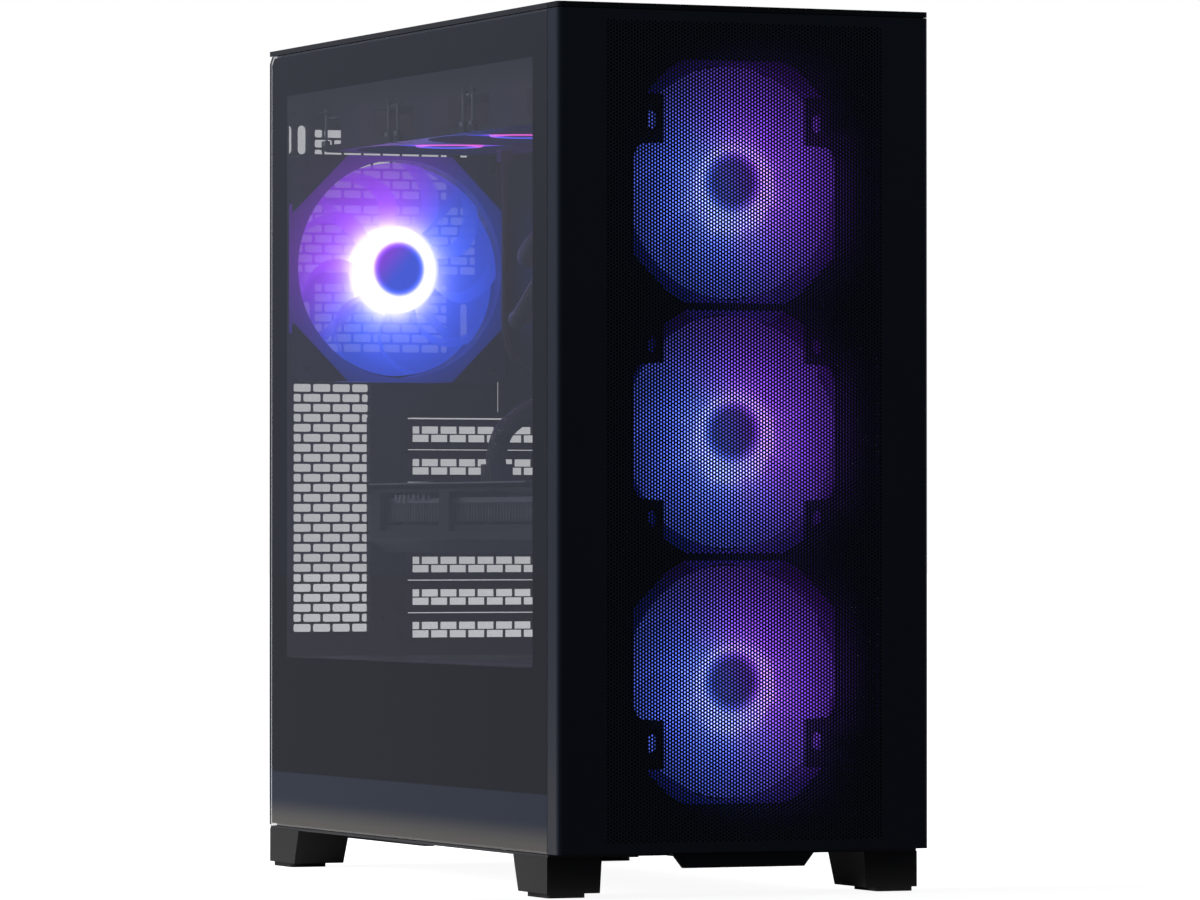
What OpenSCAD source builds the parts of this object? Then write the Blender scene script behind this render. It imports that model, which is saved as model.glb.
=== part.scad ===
// Desktop computer tower with a perforated steel front, a glass side, three intake fans,
// a rear fan, a top radiator and a full set of inner parts.
// x runs across, y from the front to the back, z up. The origin is on the ground, under
// the centre of the box around the tower.

/* [Case] */
// Width over both side panels
case_w = 230; // [228:1:240]
// Depth from the front face to the rear edge of the side panels
case_d = 462; // [460:1:480]
// Height of the side panels
panel_h = 475; // [474:1:490]
// Thickness of the rim above the side panels
rim_h = 3; // [2.5:0.1:4]
// Gap between neighbouring outer panels
seam = 0.5; // [0.3:0.1:0.8]
// Thickness of the chassis steel
sheet_t = 1; // [0.8:0.1:1.2]
// Space for cables behind the motherboard tray
cable_space = 27; // [24:1:28]
// Distance from the rear panel's inner face to the rear edge of the side panels
rear_inset = 7; // [7:0.5:10]
// Height of the folded edges of the base and the top
edge_h = 9.5; // [8:0.5:12]
// Depth of the rear panel's and the front wall's side flanges
flange_d = 17; // [14:1:18]

/* [Front panel] */
// Depth of the front panel's folded sides
front_depth = 15.4; // [14:0.2:16]
// Outer radius of the front panel's upright corners
corner_r = 3; // [2:0.5:4]
// Width of the perforated area
mesh_w = 172; // [150:2:180]
// Height of the plain steel above and below the perforated area
mesh_border = 5; // [4:1:12]
// Distance between the centres of neighbouring perforations
mesh_pitch = 9; // [8.5:0.5:14]
// Diameter of a perforation
mesh_hole = 6.4; // [4:0.2:7]
// Distance from the front face to the front wall
wall_y = 20; // [19:0.5:22]
// Diameter of a push pin of the front panel
pin_d = 6; // [5:0.5:7]
// Gap all round a push pin, a stud or a button
slip_gap = 0.25; // [0.2:0.05:0.4]

/* [Side panels] */
// Thickness of the side glass
glass_t = 4; // [3:0.5:4]
// Distance from the glass edge to the clear window at the front
window_front = 24.5; // [20:0.5:30]
// Distance from the glass edge to the clear window at the back
window_back = 27.5; // [20:0.5:30]
// Height of the black border below the clear window
window_low = 104; // [80:1:120]
// Height of the black border above the clear window
window_high = 25.5; // [20:0.5:30]
// Inward depth of both side panels
panel_depth = 5; // [5:0.5:6]

/* [Feet] */
// Height of a foot without its pad
foot_h = 22.5; // [18:0.5:26]
// Thickness of a foot pad
pad_t = 2.5; // [2:0.5:4]
// Width of a foot
foot_w = 33.5; // [28:0.5:36]
// Length of a foot along the case
foot_l = 50; // [40:1:55]
// How far the inner end of a foot leans in towards the ground
foot_lean = 7.5; // [0:0.5:10]

/* [Fans] */
// Side of the front and rear fans
fan_size = 140; // [138:1:142]
// Distance between the screw holes of the front and rear fans
fan_holes = 124.5; // [120:0.5:126]
// Side of the radiator fans
slim_size = 120; // [116:1:120]
// Distance between the screw holes of the radiator fans
slim_holes = 105; // [100:0.5:105]
// Thickness of a fan
fan_t = 25; // [23:0.5:26]
// Distance between the centres of the front fans
fan_pitch = 142.2; // [142.2:0.1:144]
// Radius of the front and rear fan hubs
hub_r = 27; // [20:0.5:30]
// Number of blades of a case fan
blade_count = 9; // [5:1:11]
// Gap between the blade tips and the fan frame
tip_gap = 1.2; // [0.8:0.1:2]
// Radius of every fan shaft
shaft_r = 1.5; // [1.2:0.1:2]
// Running clearance round a fan shaft or a switch pivot
run_gap = 0.05; // [0.02:0.01:0.1]

/* [Cooler] */
// Length of the radiator
radiator_l = 397; // [394:1:400]
// Thickness of the radiator
radiator_t = 27; // [25:0.5:28]
// Diameter of a coolant tube
tube_d = 11; // [9:0.5:12]
// Diameter of the round pump head
pump_d = 56; // [50:1:62]
// Distance that the pump head stands out from the motherboard
pump_h = 56; // [50:1:58]

/* [Board] */
// Height of the motherboard
board_h = 305; // [300:1:305]
// Depth of the motherboard
board_d = 244; // [240:1:244]
// Thickness of the motherboard
board_t = 1.6; // [1.4:0.1:2]
// Height of the standoffs
standoff_h = 6.4; // [6:0.1:7]
// Distance from the shroud top to the motherboard
board_gap = 10.5; // [9:0.5:12]
// Distance between expansion slots
slot_pitch = 20.32; // [20:0.02:20.4]
// Width of an expansion slot cover
cover_w = 18.8; // [18:0.1:19.2]
// Distance from the motherboard's lower edge to the first slot
first_slot = 127; // [126:0.5:128]
// Number of memory modules
memory_count = 4; // [1:1:4]

/* [Graphics card] */
// Length of the card from its bracket
card_l = 300; // [296:1:310]
// Distance that the card stands out from the motherboard
card_w = 131; // [128:1:133]
// Thickness of the card from its backplate to its fans
card_t = 43; // [41:0.5:46]
// Radius of a card fan's blades
card_fan_r = 45; // [42:0.5:45]

/* [Power supply] */
// Width of the power supply
psu_w = 150; // [148:1:152]
// Height of the power supply
psu_h = 86; // [84:1:88]
// Depth of the power supply
psu_d = 140; // [136:1:160]
// Height of the top of the cover over the power supply
shroud_h = 104.5; // [102:0.5:106]

/* [Hidden] */
$fn = 48;

half_w = case_w / 2;
ground_z = foot_h + pad_t;
panel_y = front_depth + seam;
base_t = 1.5;
floor_z = -seam;
roof_z = panel_h + seam;
rim_z = roof_z + rim_h;
chassis_x = half_w - panel_depth - seam;
rear_y = case_d - rear_inset;
tray_x = half_w - cable_space;
board_x = tray_x - standoff_h - board_t;
board_y = rear_y - 3;
board_z = shroud_h + board_gap;
slot_z = board_z + first_slot;
// lower end of the main power socket, above the board's lower edge
power_low = 198;
eps = 0.01;

// Places of the fans and the cooler
front_fan_x = 2.5;
front_fan_y = wall_y + sheet_t;
recess_z = panel_h - 8;
radiator_z = recess_z - radiator_t;
slim_z = radiator_z - fan_t;
radiator_x = -half_w + 25 + slim_size / 2;
radiator_y = case_d / 2 + 17.5;
rear_fan_x = -chassis_x + sheet_t + seam + fan_size / 2;
rear_fan_z = slim_z - fan_size / 2 - 1;
function front_fan_z(i) = panel_h / 2 + 0.3 + (1 - i) * fan_pitch;
function slim_y(i) = radiator_y + (i - 1) * slim_size;

// ---------- Helpers ----------

// Moves the case's own coordinates, with y from the front face and z from the underside
// of the side panels, to the part's frame.
module in_case() translate([0, -case_d / 2, ground_z]) children();

// A box from its ranges along x, y and z.
module slab(x, y, z) {
    translate([x[0], y[0], z[0]]) cube([x[1] - x[0], y[1] - y[0], z[1] - z[0]]);
}

// A rectangle from its ranges.
module area(x, y) translate([x[0], y[0]]) square([x[1] - x[0], y[1] - y[0]]);

// Sheets standing across the case, along it, or lying flat.
module sheet_xz(y, t = sheet_t) translate([0, y + t, 0]) rotate([90, 0, 0]) linear_extrude(t) children();
module sheet_yz(x, t = sheet_t) translate([x, 0, 0]) rotate([90, 0, 90]) linear_extrude(t) children();
module sheet_xy(z, t = sheet_t) translate([0, 0, z]) linear_extrude(t) children();

// A rectangle with round corners.
module round_area(x, y, r) {
    area([x[0] + r, x[1] - r], y);
    area(x, [y[0] + r, y[1] - r]);
    for (cx = [x[0] + r, x[1] - r], cy = [y[0] + r, y[1] - r]) translate([cx, cy]) circle(r);
}

// Rows of bricks in a rectangle, with every second row shifted by half a pitch.
module bricks(x, z, brick, pitch, shift_first) {
    rows = floor((z[1] - z[0] + pitch[1] - brick[1]) / pitch[1] + eps);
    for (row = [0 : rows - 1]) {
        start = x[0] - (((row % 2 == 0) == shift_first) ? pitch[0] / 2 : 0);
        top = z[1] - row * pitch[1];
        for (b0 = [start : pitch[0] : x[1]]) {
            b1 = min(b0 + brick[0], x[1]);
            if (b1 - max(b0, x[0]) > 2) area([max(b0, x[0]), b1], [top - brick[1], top]);
        }
    }
}

// A straight slot with round ends.
module slot_2d(p, q, w) {
    d = q - p;
    translate(p) rotate(atan2(d[1], d[0])) {
        translate([0, -w / 2]) square([norm(d), w]);
        circle(w / 2);
        translate([norm(d), 0]) circle(w / 2);
    }
}

// Points on a smooth curve through a list of points.
function spline(p, a, t) = let (
    p0 = p[max(a - 1, 0)], p1 = p[a], p2 = p[a + 1], p3 = p[min(a + 2, len(p) - 1)])
    0.5 * (2 * p1 + (p2 - p0) * t + (2 * p0 - 5 * p1 + 4 * p2 - p3) * t * t
        + (3 * p1 - p0 - 3 * p2 + p3) * t * t * t);
function curve(p, steps) = concat(
    [for (a = [0 : len(p) - 2], s = [0 : steps - 1]) spline(p, a, s / steps)], [p[len(p) - 1]]);
function unit(v) = v / norm(v);

// A round tube along a route. The route never runs along the side direction.
module tube(route, d, side, sides = 10, steps = 6) {
    path = curve(route, steps);
    n = len(path);
    rings = [for (i = [0 : n - 1]) let (
        t = unit(path[min(i + 1, n - 1)] - path[max(i - 1, 0)]),
        u = unit(cross(side, t)), v = cross(t, u))
        for (k = [0 : sides - 1]) path[i] + d / 2 * (u * cos(360 * k / sides) + v * sin(360 * k / sides))];
    polyhedron(rings, concat(
        [[for (k = [0 : sides - 1]) k]],
        [for (i = [0 : n - 2], k = [0 : sides - 1]) let (m = (k + 1) % sides)
            [i * sides + k, (i + 1) * sides + k, (i + 1) * sides + m, i * sides + m]],
        [[for (k = [sides - 1 : -1 : 0]) (n - 1) * sides + k]]));
}

// ---------- Fans ----------

fan_wall = 2.5;
lug_t = 4;
lug_r = 7;
barrel_cut = 0.257;
base_disc_t = 3.5;
sleeve_r = 4;
screw_hole_r = 2.2;
slim_gap = 0.3;
slim_hub_r = hub_r * 0.8;

// A fan frame on its axis: an eight-sided barrel, square lugs at both ends, and the struts
// and bearing sleeve that carry the rotor at the far end.
module fan_frame(size, holes, hub) {
    bore_r = size / 2 - fan_wall;
    cut = size * barrel_cut;
    h = size / 2;
    difference() {
        union() {
            linear_extrude(fan_t) polygon([for (a = [0 : 3]) each [
                [h * cos(a * 90) - (h - cut) * sin(a * 90), h * sin(a * 90) + (h - cut) * cos(a * 90)],
                [(h - cut) * cos(a * 90) - h * sin(a * 90), (h - cut) * sin(a * 90) + h * cos(a * 90)]]]);
            for (z = [0, fan_t - lug_t])
                translate([0, 0, z]) linear_extrude(lug_t) round_area([-h, h], [-h, h], lug_r);
        }
        translate([0, 0, -1]) cylinder(r = bore_r, h = fan_t + 2, $fn = 96);
        for (x = [-1, 1], y = [-1, 1])
            translate([x * holes / 2, y * holes / 2, -1]) cylinder(r = screw_hole_r, h = fan_t + 2);
    }
    difference() {
        union() {
            translate([0, 0, fan_t - base_disc_t]) cylinder(r = hub - 2, h = base_disc_t);
            for (a = [45 : 90 : 315]) rotate(a)
                slab([hub - 4, bore_r + 1], [-2.5, 2.5], [fan_t - base_disc_t, fan_t]);
            translate([0, 0, fan_t / 2]) cylinder(r = sleeve_r, h = fan_t / 2);
        }
        translate([0, 0, fan_t / 2 - 1]) cylinder(r = shaft_r + run_gap, h = fan_t / 2 - 1);
    }
}

// One cambered blade along +x, cut to the ring between the hub and the tip.
module blade(hub, tip, low, high, chord, pitch, camber, t) {
    intersection() {
        difference() {
            translate([0, 0, low]) cylinder(r = tip, h = high - low, $fn = 96);
            translate([0, 0, low - 1]) cylinder(r = hub - 0.8, h = high - low + 2);
        }
        translate([0, 0, (low + high) / 2]) rotate([pitch, 0, 14]) rotate([90, 0, 90])
            linear_extrude(tip + 5) intersection() {
                translate([0, -camber]) difference() {
                    circle(camber + t / 2, $fn = 96);
                    circle(camber - t / 2, $fn = 96);
                }
                square([chord, chord], center = true);
            }
    }
}

// A rotor: a cup hub with a domed rim, its shaft and its blades. It turns about the z axis.
module rotor(hub, tip, depth, count, chord, pitch) {
    low = 1.5;
    high = depth - base_disc_t - 1;
    wall = 2;
    dome = 1.2;
    difference() {
        union() {
            translate([0, 0, low + dome]) cylinder(r = hub, h = high - low - dome);
            translate([0, 0, low]) cylinder(r1 = hub - dome, r2 = hub, h = dome);
        }
        translate([0, 0, low + wall]) cylinder(r = hub - wall, h = high);
    }
    translate([0, 0, low + 1]) cylinder(r = shaft_r, h = depth / 2 + 5 - low);
    for (i = [0 : count - 1]) rotate(i * 360 / count)
        blade(hub, tip, low + 0.5, high - 0.5, chord, pitch, 42, 1.6);
}

module along_y() rotate([-90, 0, 0]) children();
module case_rotor() rotor(hub_r, fan_size / 2 - fan_wall - tip_gap, fan_t, blade_count, 31, 37);
module slim_rotor() rotor(slim_hub_r, (slim_size - slim_gap) / 2 - fan_wall - tip_gap, fan_t, blade_count, 28, 37);

module front_fans() color("#26262c") in_case()
    for (i = [0 : 2]) translate([front_fan_x, front_fan_y, front_fan_z(i)]) along_y()
        fan_frame(fan_size, fan_holes, hub_r);
module front_rotor(i) color("#5a6ae0") in_case()
    translate([front_fan_x, front_fan_y, front_fan_z(i)]) along_y() case_rotor();

module rear_fan() color("#26262c") in_case()
    translate([rear_fan_x, rear_y - fan_t, rear_fan_z]) along_y() fan_frame(fan_size, fan_holes, hub_r);
module rear_rotor() color("#7a6ae8") in_case()
    translate([rear_fan_x, rear_y - fan_t, rear_fan_z]) along_y() case_rotor();

module radiator_fans() color("#222228") in_case()
    for (i = [0 : 2]) translate([radiator_x, slim_y(i), slim_z]) fan_frame(slim_size - slim_gap, slim_holes, slim_hub_r);
module radiator_rotor(i) color("#c05ad0") in_case()
    translate([radiator_x, slim_y(i), slim_z]) slim_rotor();

// ---------- Chassis ----------

filter_w = 150;
filter_l = 158;
filter_t = 3;
rail_t = 2;
foot_rear_end = case_d - 1;

module base_plate() color("#18181b") in_case() {
    difference() {
        slab([-half_w + seam, half_w - seam], [panel_y, case_d - seam], [floor_z - base_t, floor_z]);
        for (i = [0 : 9]) sheet_xy(floor_z - base_t - 1, base_t + 2)
            slot_2d([-60 + i * 120 / 9, rear_y - psu_d + 22], [-60 + i * 120 / 9, rear_y - 22], 8);
    }
    for (s = [-1, 1]) {
        // folded edges that carry the side panels
        translate([s * (chassis_x - sheet_t / 2), 0, 0])
            slab([-sheet_t / 2, sheet_t / 2], [front_fan_y, rear_y], [floor_z, edge_h]);
        // rails of the filter
        translate([s * (filter_w / 2 + slip_gap + rail_t / 2), 0, floor_z - base_t])
            slab([-rail_t / 2, rail_t / 2], [rear_y - filter_l, rear_y], [-filter_t - slip_gap * 2 - rail_t, eps]);
        translate([s * (filter_w / 2 - 1), 0, floor_z - base_t])
            slab([-2 - rail_t / 2, 2 + rail_t / 2], [rear_y - filter_l, rear_y],
                [-filter_t - slip_gap * 2 - rail_t, -filter_t - slip_gap * 2]);
    }
}

// The three intake openings, each a circle with straight sides and tabs for smaller fans.
intake_r = fan_size / 2 - 1.5;
intake_side = 62.75;
module intake_2d(i) translate([front_fan_x, front_fan_z(i)]) difference() {
    intersection() {
        circle(intake_r, $fn = 96);
        area([-intake_side, intake_side], [-intake_r, intake_r]);
    }
    for (s = [-1, 1], e = i == 0 ? [1] : i == 1 ? [-1, 1] : [-1])
        round_area([min(s * 44, s * 80), max(s * 44, s * 80)], [min(e * 21, e * 49), max(e * 21, e * 49)], 4);
}
module front_wall() color("#141417") in_case() {
    sheet_xz(wall_y) difference() {
        area([-chassis_x, chassis_x], [floor_z, roof_z]);
        for (i = [0 : 2]) intake_2d(i);
        for (i = [0 : 2], s = [-1, 1], e = i == 0 ? [1] : i == 1 ? [-1, 1] : [-1])
            translate([front_fan_x, front_fan_z(i)]) slot_2d([s * 52.5, e * 29], [s * 52.5, e * 40], 4.7);
        for (i = [0 : 2], x = [-1, 1], z = [-1, 1])
            translate([front_fan_x + x * fan_holes / 2, front_fan_z(i) + z * fan_holes / 2]) circle(screw_hole_r);
        for (x = [-1, 1], z = pin_rows) translate([x * pin_x, z]) circle(pin_d / 2 + slip_gap);
    }
    for (s = [-1, 1]) translate([s * (chassis_x - sheet_t / 2), 0, 0]) difference() {
        slab([-sheet_t / 2, sheet_t / 2], [front_fan_y - eps, front_fan_y + flange_d], [edge_h, panel_h - edge_h]);
        if (s < 0) stud_holes();
    }
}

io_z = board_z + 220.5;
io_size = [44.45, 158.75];
io_x = board_x - 20.5;
cover_x = [board_x - 106, board_x - 0.5];
clamp_x = board_x - 121.6;
function cover_z(k) = slot_z - k * slot_pitch;
module rear_panel() color("#1b1b1e") in_case() {
    sheet_xz(rear_y) difference() {
        area([-chassis_x, chassis_x], [floor_z, roof_z]);
        bricks([-half_w + 13.5, -half_w + 64.5], [slot_z - 123.8, slot_z + 30.5], [11.6, 4.8], [12.95, 6.2], false);
        bricks([-half_w + 14, rear_fan_x + 60], [rear_fan_z - 64, rear_fan_z + 89], [11.6, 4.8], [12.95, 6.2], true);
        for (x = [-half_w + 8.7, -half_w + 19]) slot_2d([x, rear_fan_z + 93], [x, rear_fan_z + 104], 5.4);
        area([io_x - io_size[0] / 2, io_x + io_size[0] / 2], [io_z - io_size[1] / 2, io_z + io_size[1] / 2]);
        area([cover_x[0] + 3, cover_x[1] - 2], [cover_z(6) - 9.4, cover_z(0) + 10.4]);
        round_area([-psu_w / 2 + 6, psu_w / 2 - 6], [psu_z + 4, psu_z + psu_h - 4], 3);
        for (x = [-1, 1], z = [-1, 1])
            translate([rear_fan_x + x * fan_holes / 2, rear_fan_z + z * fan_holes / 2]) circle(screw_hole_r);
        for (z = clamp_rows) translate([clamp_x, z]) circle(2);
        for (z = thumb_rows) translate([thumb_x, z]) circle(thumb_r + slip_gap);
    }
    for (s = [-1, 1]) translate([s * (chassis_x - sheet_t / 2), 0, 0]) difference() {
        slab([-sheet_t / 2, sheet_t / 2], [rear_y - flange_d, rear_y + eps], [edge_h, panel_h - edge_h]);
        if (s < 0) stud_holes();
    }
}

// The top: a rim round a sunk tray that carries the radiator and takes the filter.
recess = [[-98, 98], [42, rear_y - 8]];
ledge = 5;
filter_deep = 2;
module top_plate() color("#1d1c1f") in_case() difference() {
    union() {
        difference() {
            slab([-half_w, half_w], [panel_y, case_d], [roof_z, rim_z]);
            slab([recess[0][0] - ledge, recess[0][1] + ledge], [recess[1][0] - ledge, recess[1][1] + ledge],
                [rim_z - filter_deep, rim_z + 1]);
        }
        slab([recess[0][0] - sheet_t, recess[0][1] + sheet_t], [recess[1][0] - sheet_t, recess[1][1] + sheet_t],
            [recess_z, roof_z + eps]);
        for (s = [-1, 1]) translate([s * (chassis_x - sheet_t / 2), 0, 0])
            slab([-sheet_t / 2, sheet_t / 2], [front_fan_y, rear_y], [panel_h - edge_h, roof_z + eps]);
    }
    slab(recess[0], recess[1], [recess_z + sheet_t, rim_z + 1]);
    // air slots over the radiator and spare room beside it
    for (i = [0 : 2], x = [-52 : 13 : 52]) sheet_xy(recess_z - 1, sheet_t + 2) translate([radiator_x + x, slim_y(i)])
        slot_2d([0, -sqrt(57 * 57 - x * x) + 3], [0, sqrt(57 * 57 - x * x) - 3], 8);
    for (y = [-170 : 34 : 170]) sheet_xy(recess_z - 1, sheet_t + 2)
        translate([radiator_x + 78, radiator_y + y]) slot_2d([0, -11], [0, 11], 8);
    for (i = [0 : 2], x = [-1, 1], y = [-1, 1])
        translate([radiator_x + x * slim_holes / 2, slim_y(i) + y * slim_holes / 2, recess_z - 1])
            cylinder(r = 2, h = sheet_t + 2);
    translate([power_x, button_y, roof_z - 1]) cylinder(r = power_r + slip_gap, h = rim_h + 2);
    translate([light_x, button_y, roof_z - 1]) cylinder(r = light_r + slip_gap, h = rim_h + 2);
    for (x = usb_x) slab([x - usb[0] / 2, x + usb[0] / 2], [button_y - usb[1] / 2, button_y + usb[1] / 2],
        [roof_z - 1, rim_z + 1]);
    sheet_xy(roof_z - 1, rim_h + 2) slot_2d([usb_c_x - 3, button_y], [usb_c_x + 3, button_y], 3.4);
    translate([jack_x, button_y, roof_z - 1]) cylinder(r = 3.4, h = rim_h + 2);
}

// heights of the cable openings above the board's lower edge
tray_openings = [18, 108, power_low - 5];
module board_tray() color("#1a1a1d") in_case() sheet_yz(tray_x) difference() {
    area([tray_front, rear_y], [floor_z, recess_z]);
    // the opening behind the processor
    round_area([board_y - 190, board_y - 70], [board_z + 165, board_z + 275], 6);
    // cable openings beside and above the board
    for (z = tray_openings) round_area([board_y - board_d - 34, board_y - board_d - 10],
        [board_z + z, board_z + z + 62], 8);
    round_area([board_y - 30, board_y - 4], [board_z + board_h + 6, board_z + board_h + 22], 6);
    round_area([rear_y - psu_d - 90, rear_y - psu_d - 20], [20, 80], 8);
}

shroud_x = -chassis_x + sheet_t + slip_gap;
module psu_shroud() color("#171719") in_case() difference() {
    union() {
        slab([shroud_x, tray_x], [62, rear_y], [shroud_h - sheet_t, shroud_h]);
        slab([shroud_x, shroud_x + sheet_t], [62, rear_y - flange_d - 1], [floor_z, shroud_h]);
        slab([shroud_x, tray_x], [62, 62 + sheet_t], [shroud_h - 12, shroud_h]);
    }
    // slots in the top and an opening for the card's cable
    for (y = [0 : 13], x = [0 : 2]) sheet_xy(shroud_h - sheet_t - 1, sheet_t + 2)
        slot_2d([-80 + x * 48, 110 + y * 14], [-50 + x * 48, 110 + y * 14], 5);
    sheet_xy(shroud_h - sheet_t - 1, sheet_t + 2) slot_2d([tray_x - 50, 90], [tray_x - 16, 90], 16);
}

// ---------- Side panels ----------

stud_r = 2;
ball_r = 3;
stud_y = [front_fan_y + flange_d - 6, rear_y - flange_d + 6];
stud_z = [34, panel_h - 34];
module stud_holes() for (y = stud_y, z = stud_z)
    translate([-sheet_t, y, z]) rotate([0, 90, 0]) cylinder(r = ball_r + slip_gap, h = 2 * sheet_t);

glass_y = [panel_y, case_d];
corner_cut = 4;
module side_outline(inset) polygon([
    [glass_y[0] + inset, inset], [glass_y[1] - inset, inset],
    [glass_y[1] - inset, panel_h - inset - corner_cut], [glass_y[1] - inset - corner_cut, panel_h - inset],
    [glass_y[0] + inset, panel_h - inset]]);
module glass_panel() color("#2a2d33", 0.5) in_case() sheet_yz(-half_w, glass_t) side_outline(0);

// The steel frame behind the black border, with the ball studs that hold the panel.
frame_x = -half_w + glass_t;
module glass_frame() color("#0d0d10") in_case() {
    sheet_yz(frame_x, panel_depth - glass_t) difference() {
        side_outline(1);
        area([glass_y[0] + window_front, glass_y[1] - window_back], [window_low, panel_h - window_high]);
    }
    for (y = stud_y, z = stud_z) translate([-half_w + panel_depth - eps, y, z]) rotate([0, 90, 0]) {
        cylinder(r = stud_r, h = 5);
        translate([0, 0, 6]) intersection() {
            sphere(r = ball_r);
            translate([0, 0, -2.2]) cylinder(r = ball_r + 1, h = 4.4);
        }
    }
}

thumb_rows = [62, panel_h - 55];
thumb_r = 1.7;
thumb_x = chassis_x - 6;
tab_t = 1.2;
module right_panel() color("#17171a") in_case() {
    x0 = half_w - panel_depth;
    difference() {
        slab([x0, half_w], glass_y, [0, panel_h]);
        slab([x0 - 1, half_w - sheet_t], [glass_y[0] + sheet_t, glass_y[1] - sheet_t], [sheet_t, panel_h - sheet_t]);
        slab([x0 - 1, half_w - sheet_t], [rear_y - 1, case_d - sheet_t - eps], [60 - 16, panel_h - 40]);
    }
    // tabs behind the rear panel for the thumbscrews
    for (z = thumb_rows) difference() {
        slab([thumb_x - 7, half_w - sheet_t + eps], [rear_y + sheet_t + slip_gap, rear_y + sheet_t + slip_gap + tab_t],
            [z - 11, z + 11]);
        translate([thumb_x, rear_y, z]) along_y() cylinder(r = thumb_r, h = 6);
    }
}
module thumbscrews() color("#232326") in_case() for (z = thumb_rows)
    translate([thumb_x, rear_y - 4, z]) along_y() {
        cylinder(r = thumb_r, h = 9);
        y0 = 4 + sheet_t + slip_gap + tab_t;
        translate([0, 0, y0]) difference() {
            cylinder(r = 5.2, h = 3.5);
            for (a = [0 : 20 : 340]) rotate(a) translate([5.6, 0, -1]) cylinder(r = 0.8, h = 6, $fn = 16);
        }
    }

// ---------- Front panel ----------

// The plan of the folded front sheet, shrunk by the inset.
module front_plan(inset) {
    r = corner_r - inset;
    area([-half_w + inset, half_w - inset], [corner_r, front_depth + inset]);
    area([-half_w + corner_r, half_w - corner_r], [inset, corner_r + eps]);
    for (s = [-1, 1]) translate([s * (half_w - corner_r), corner_r]) circle(r);
}
mesh_z = [mesh_border, panel_h - mesh_border];
module front_shell() color("#15171c") in_case() difference() {
    sheet_xy(0, panel_h) difference() {
        front_plan(0);
        front_plan(sheet_t);
    }
    slab([-mesh_w / 2, mesh_w / 2], [-1, sheet_t + 1], mesh_z);
}

// Round holes in staggered rows.
module front_mesh() color("#101216") in_case() sheet_xz(0) difference() {
    area([-mesh_w / 2, mesh_w / 2], mesh_z);
    row = mesh_pitch * sqrt(3) / 2;
    rows = floor((mesh_z[1] - mesh_z[0] - mesh_pitch) / row);
    columns = floor((mesh_w - 1.5 * mesh_pitch) / mesh_pitch);
    for (j = [0 : rows], i = [0 : columns])
        translate([(i - columns / 2 + (j % 2 == 0 ? 0.25 : -0.25)) * mesh_pitch,
            (mesh_z[0] + mesh_z[1]) / 2 + (j - rows / 2) * row]) circle(mesh_hole / 2, $fn = 24);
}

pin_x = 98;
pin_rows = [22, panel_h / 2 - 71.1, panel_h / 2 + 71.1, panel_h - 22];
frame_t = 3;
module front_frame() color("#0e0e11") in_case() {
    sheet_xz(sheet_t, frame_t) difference() {
        area([-half_w + corner_r, half_w - corner_r], [0, roof_z]);
        area([-mesh_w / 2 + 2, mesh_w / 2 - 2], [mesh_z[0] + 3, mesh_z[1] - 3]);
    }
    // the cap that carries the rim round to the front
    sheet_xy(roof_z, rim_h) front_plan(0);
    for (x = [-1, 1], z = pin_rows) translate([x * pin_x, sheet_t + frame_t - eps, z]) along_y() {
        cylinder(r = pin_d / 2 + 2, h = wall_y - sheet_t - frame_t - 2);
        cylinder(r = pin_d / 2, h = wall_y - frame_t + 1);
        translate([0, 0, wall_y - frame_t + 1]) cylinder(r1 = pin_d / 2, r2 = pin_d / 2 - 1.2, h = 2);
    }
}

lip = [44.5, 37.5, 8.7];
module pull_lip() color("#0a0a0c") in_case() {
    sheet_xz(2, 2.5) polygon([[-lip[0], 0], [lip[0], 0], [lip[1], -lip[2]], [-lip[1], -lip[2]]]);
    slab([-lip[0] + 2, lip[0] - 2], [4.5 - eps, front_depth - 1], [-2, 0]);
    for (x = [-24, 0, 24]) slab([x - 1, x + 1], [4.5 - eps, front_depth - 3], [-lip[2] + 2, -2 + eps]);
}

// ---------- Filters and feet ----------

module top_filter() color("#111114") in_case() {
    gap = slip_gap;
    x = [recess[0][0] - ledge + gap, recess[0][1] + ledge - gap];
    y = [recess[1][0] - ledge + gap, recess[1][1] + ledge - gap];
    sheet_xy(rim_z - filter_deep + 0.1, filter_deep - 0.3) difference() {
        round_area(x, y, 1);
        w = (x[1] - x[0] - 16 - 11 * 2) / 12;
        l = (y[1] - y[0] - 16 - 25 * 2) / 26;
        for (i = [0 : 11], j = [0 : 25]) translate([x[0] + 8 + i * (w + 2), y[0] + 8 + j * (l + 2)]) square([w, l]);
    }
}

module bottom_filter() color("#111114") in_case() {
    z = floor_z - base_t - slip_gap - filter_t;
    x = filter_w / 2;
    sheet_xy(z, filter_t) difference() {
        area([-x, x], [rear_y - filter_l, rear_y + 2]);
        w = (filter_w - 16 - 9 * 2) / 10;
        l = (filter_l - 16 - 9 * 2) / 10;
        for (i = [0 : 9], j = [0 : 9])
            translate([-x + 8 + i * (w + 2), rear_y - filter_l + 8 + j * (l + 2)]) square([w, l]);
    }
    // the grip at the back
    sheet_xy(z - 4, filter_t + 4) difference() {
        area([-30, 30], [rear_y - 4, rear_y + 4]);
        area([-27, 27], [rear_y - 5, rear_y + 1.5]);
    }
}

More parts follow.
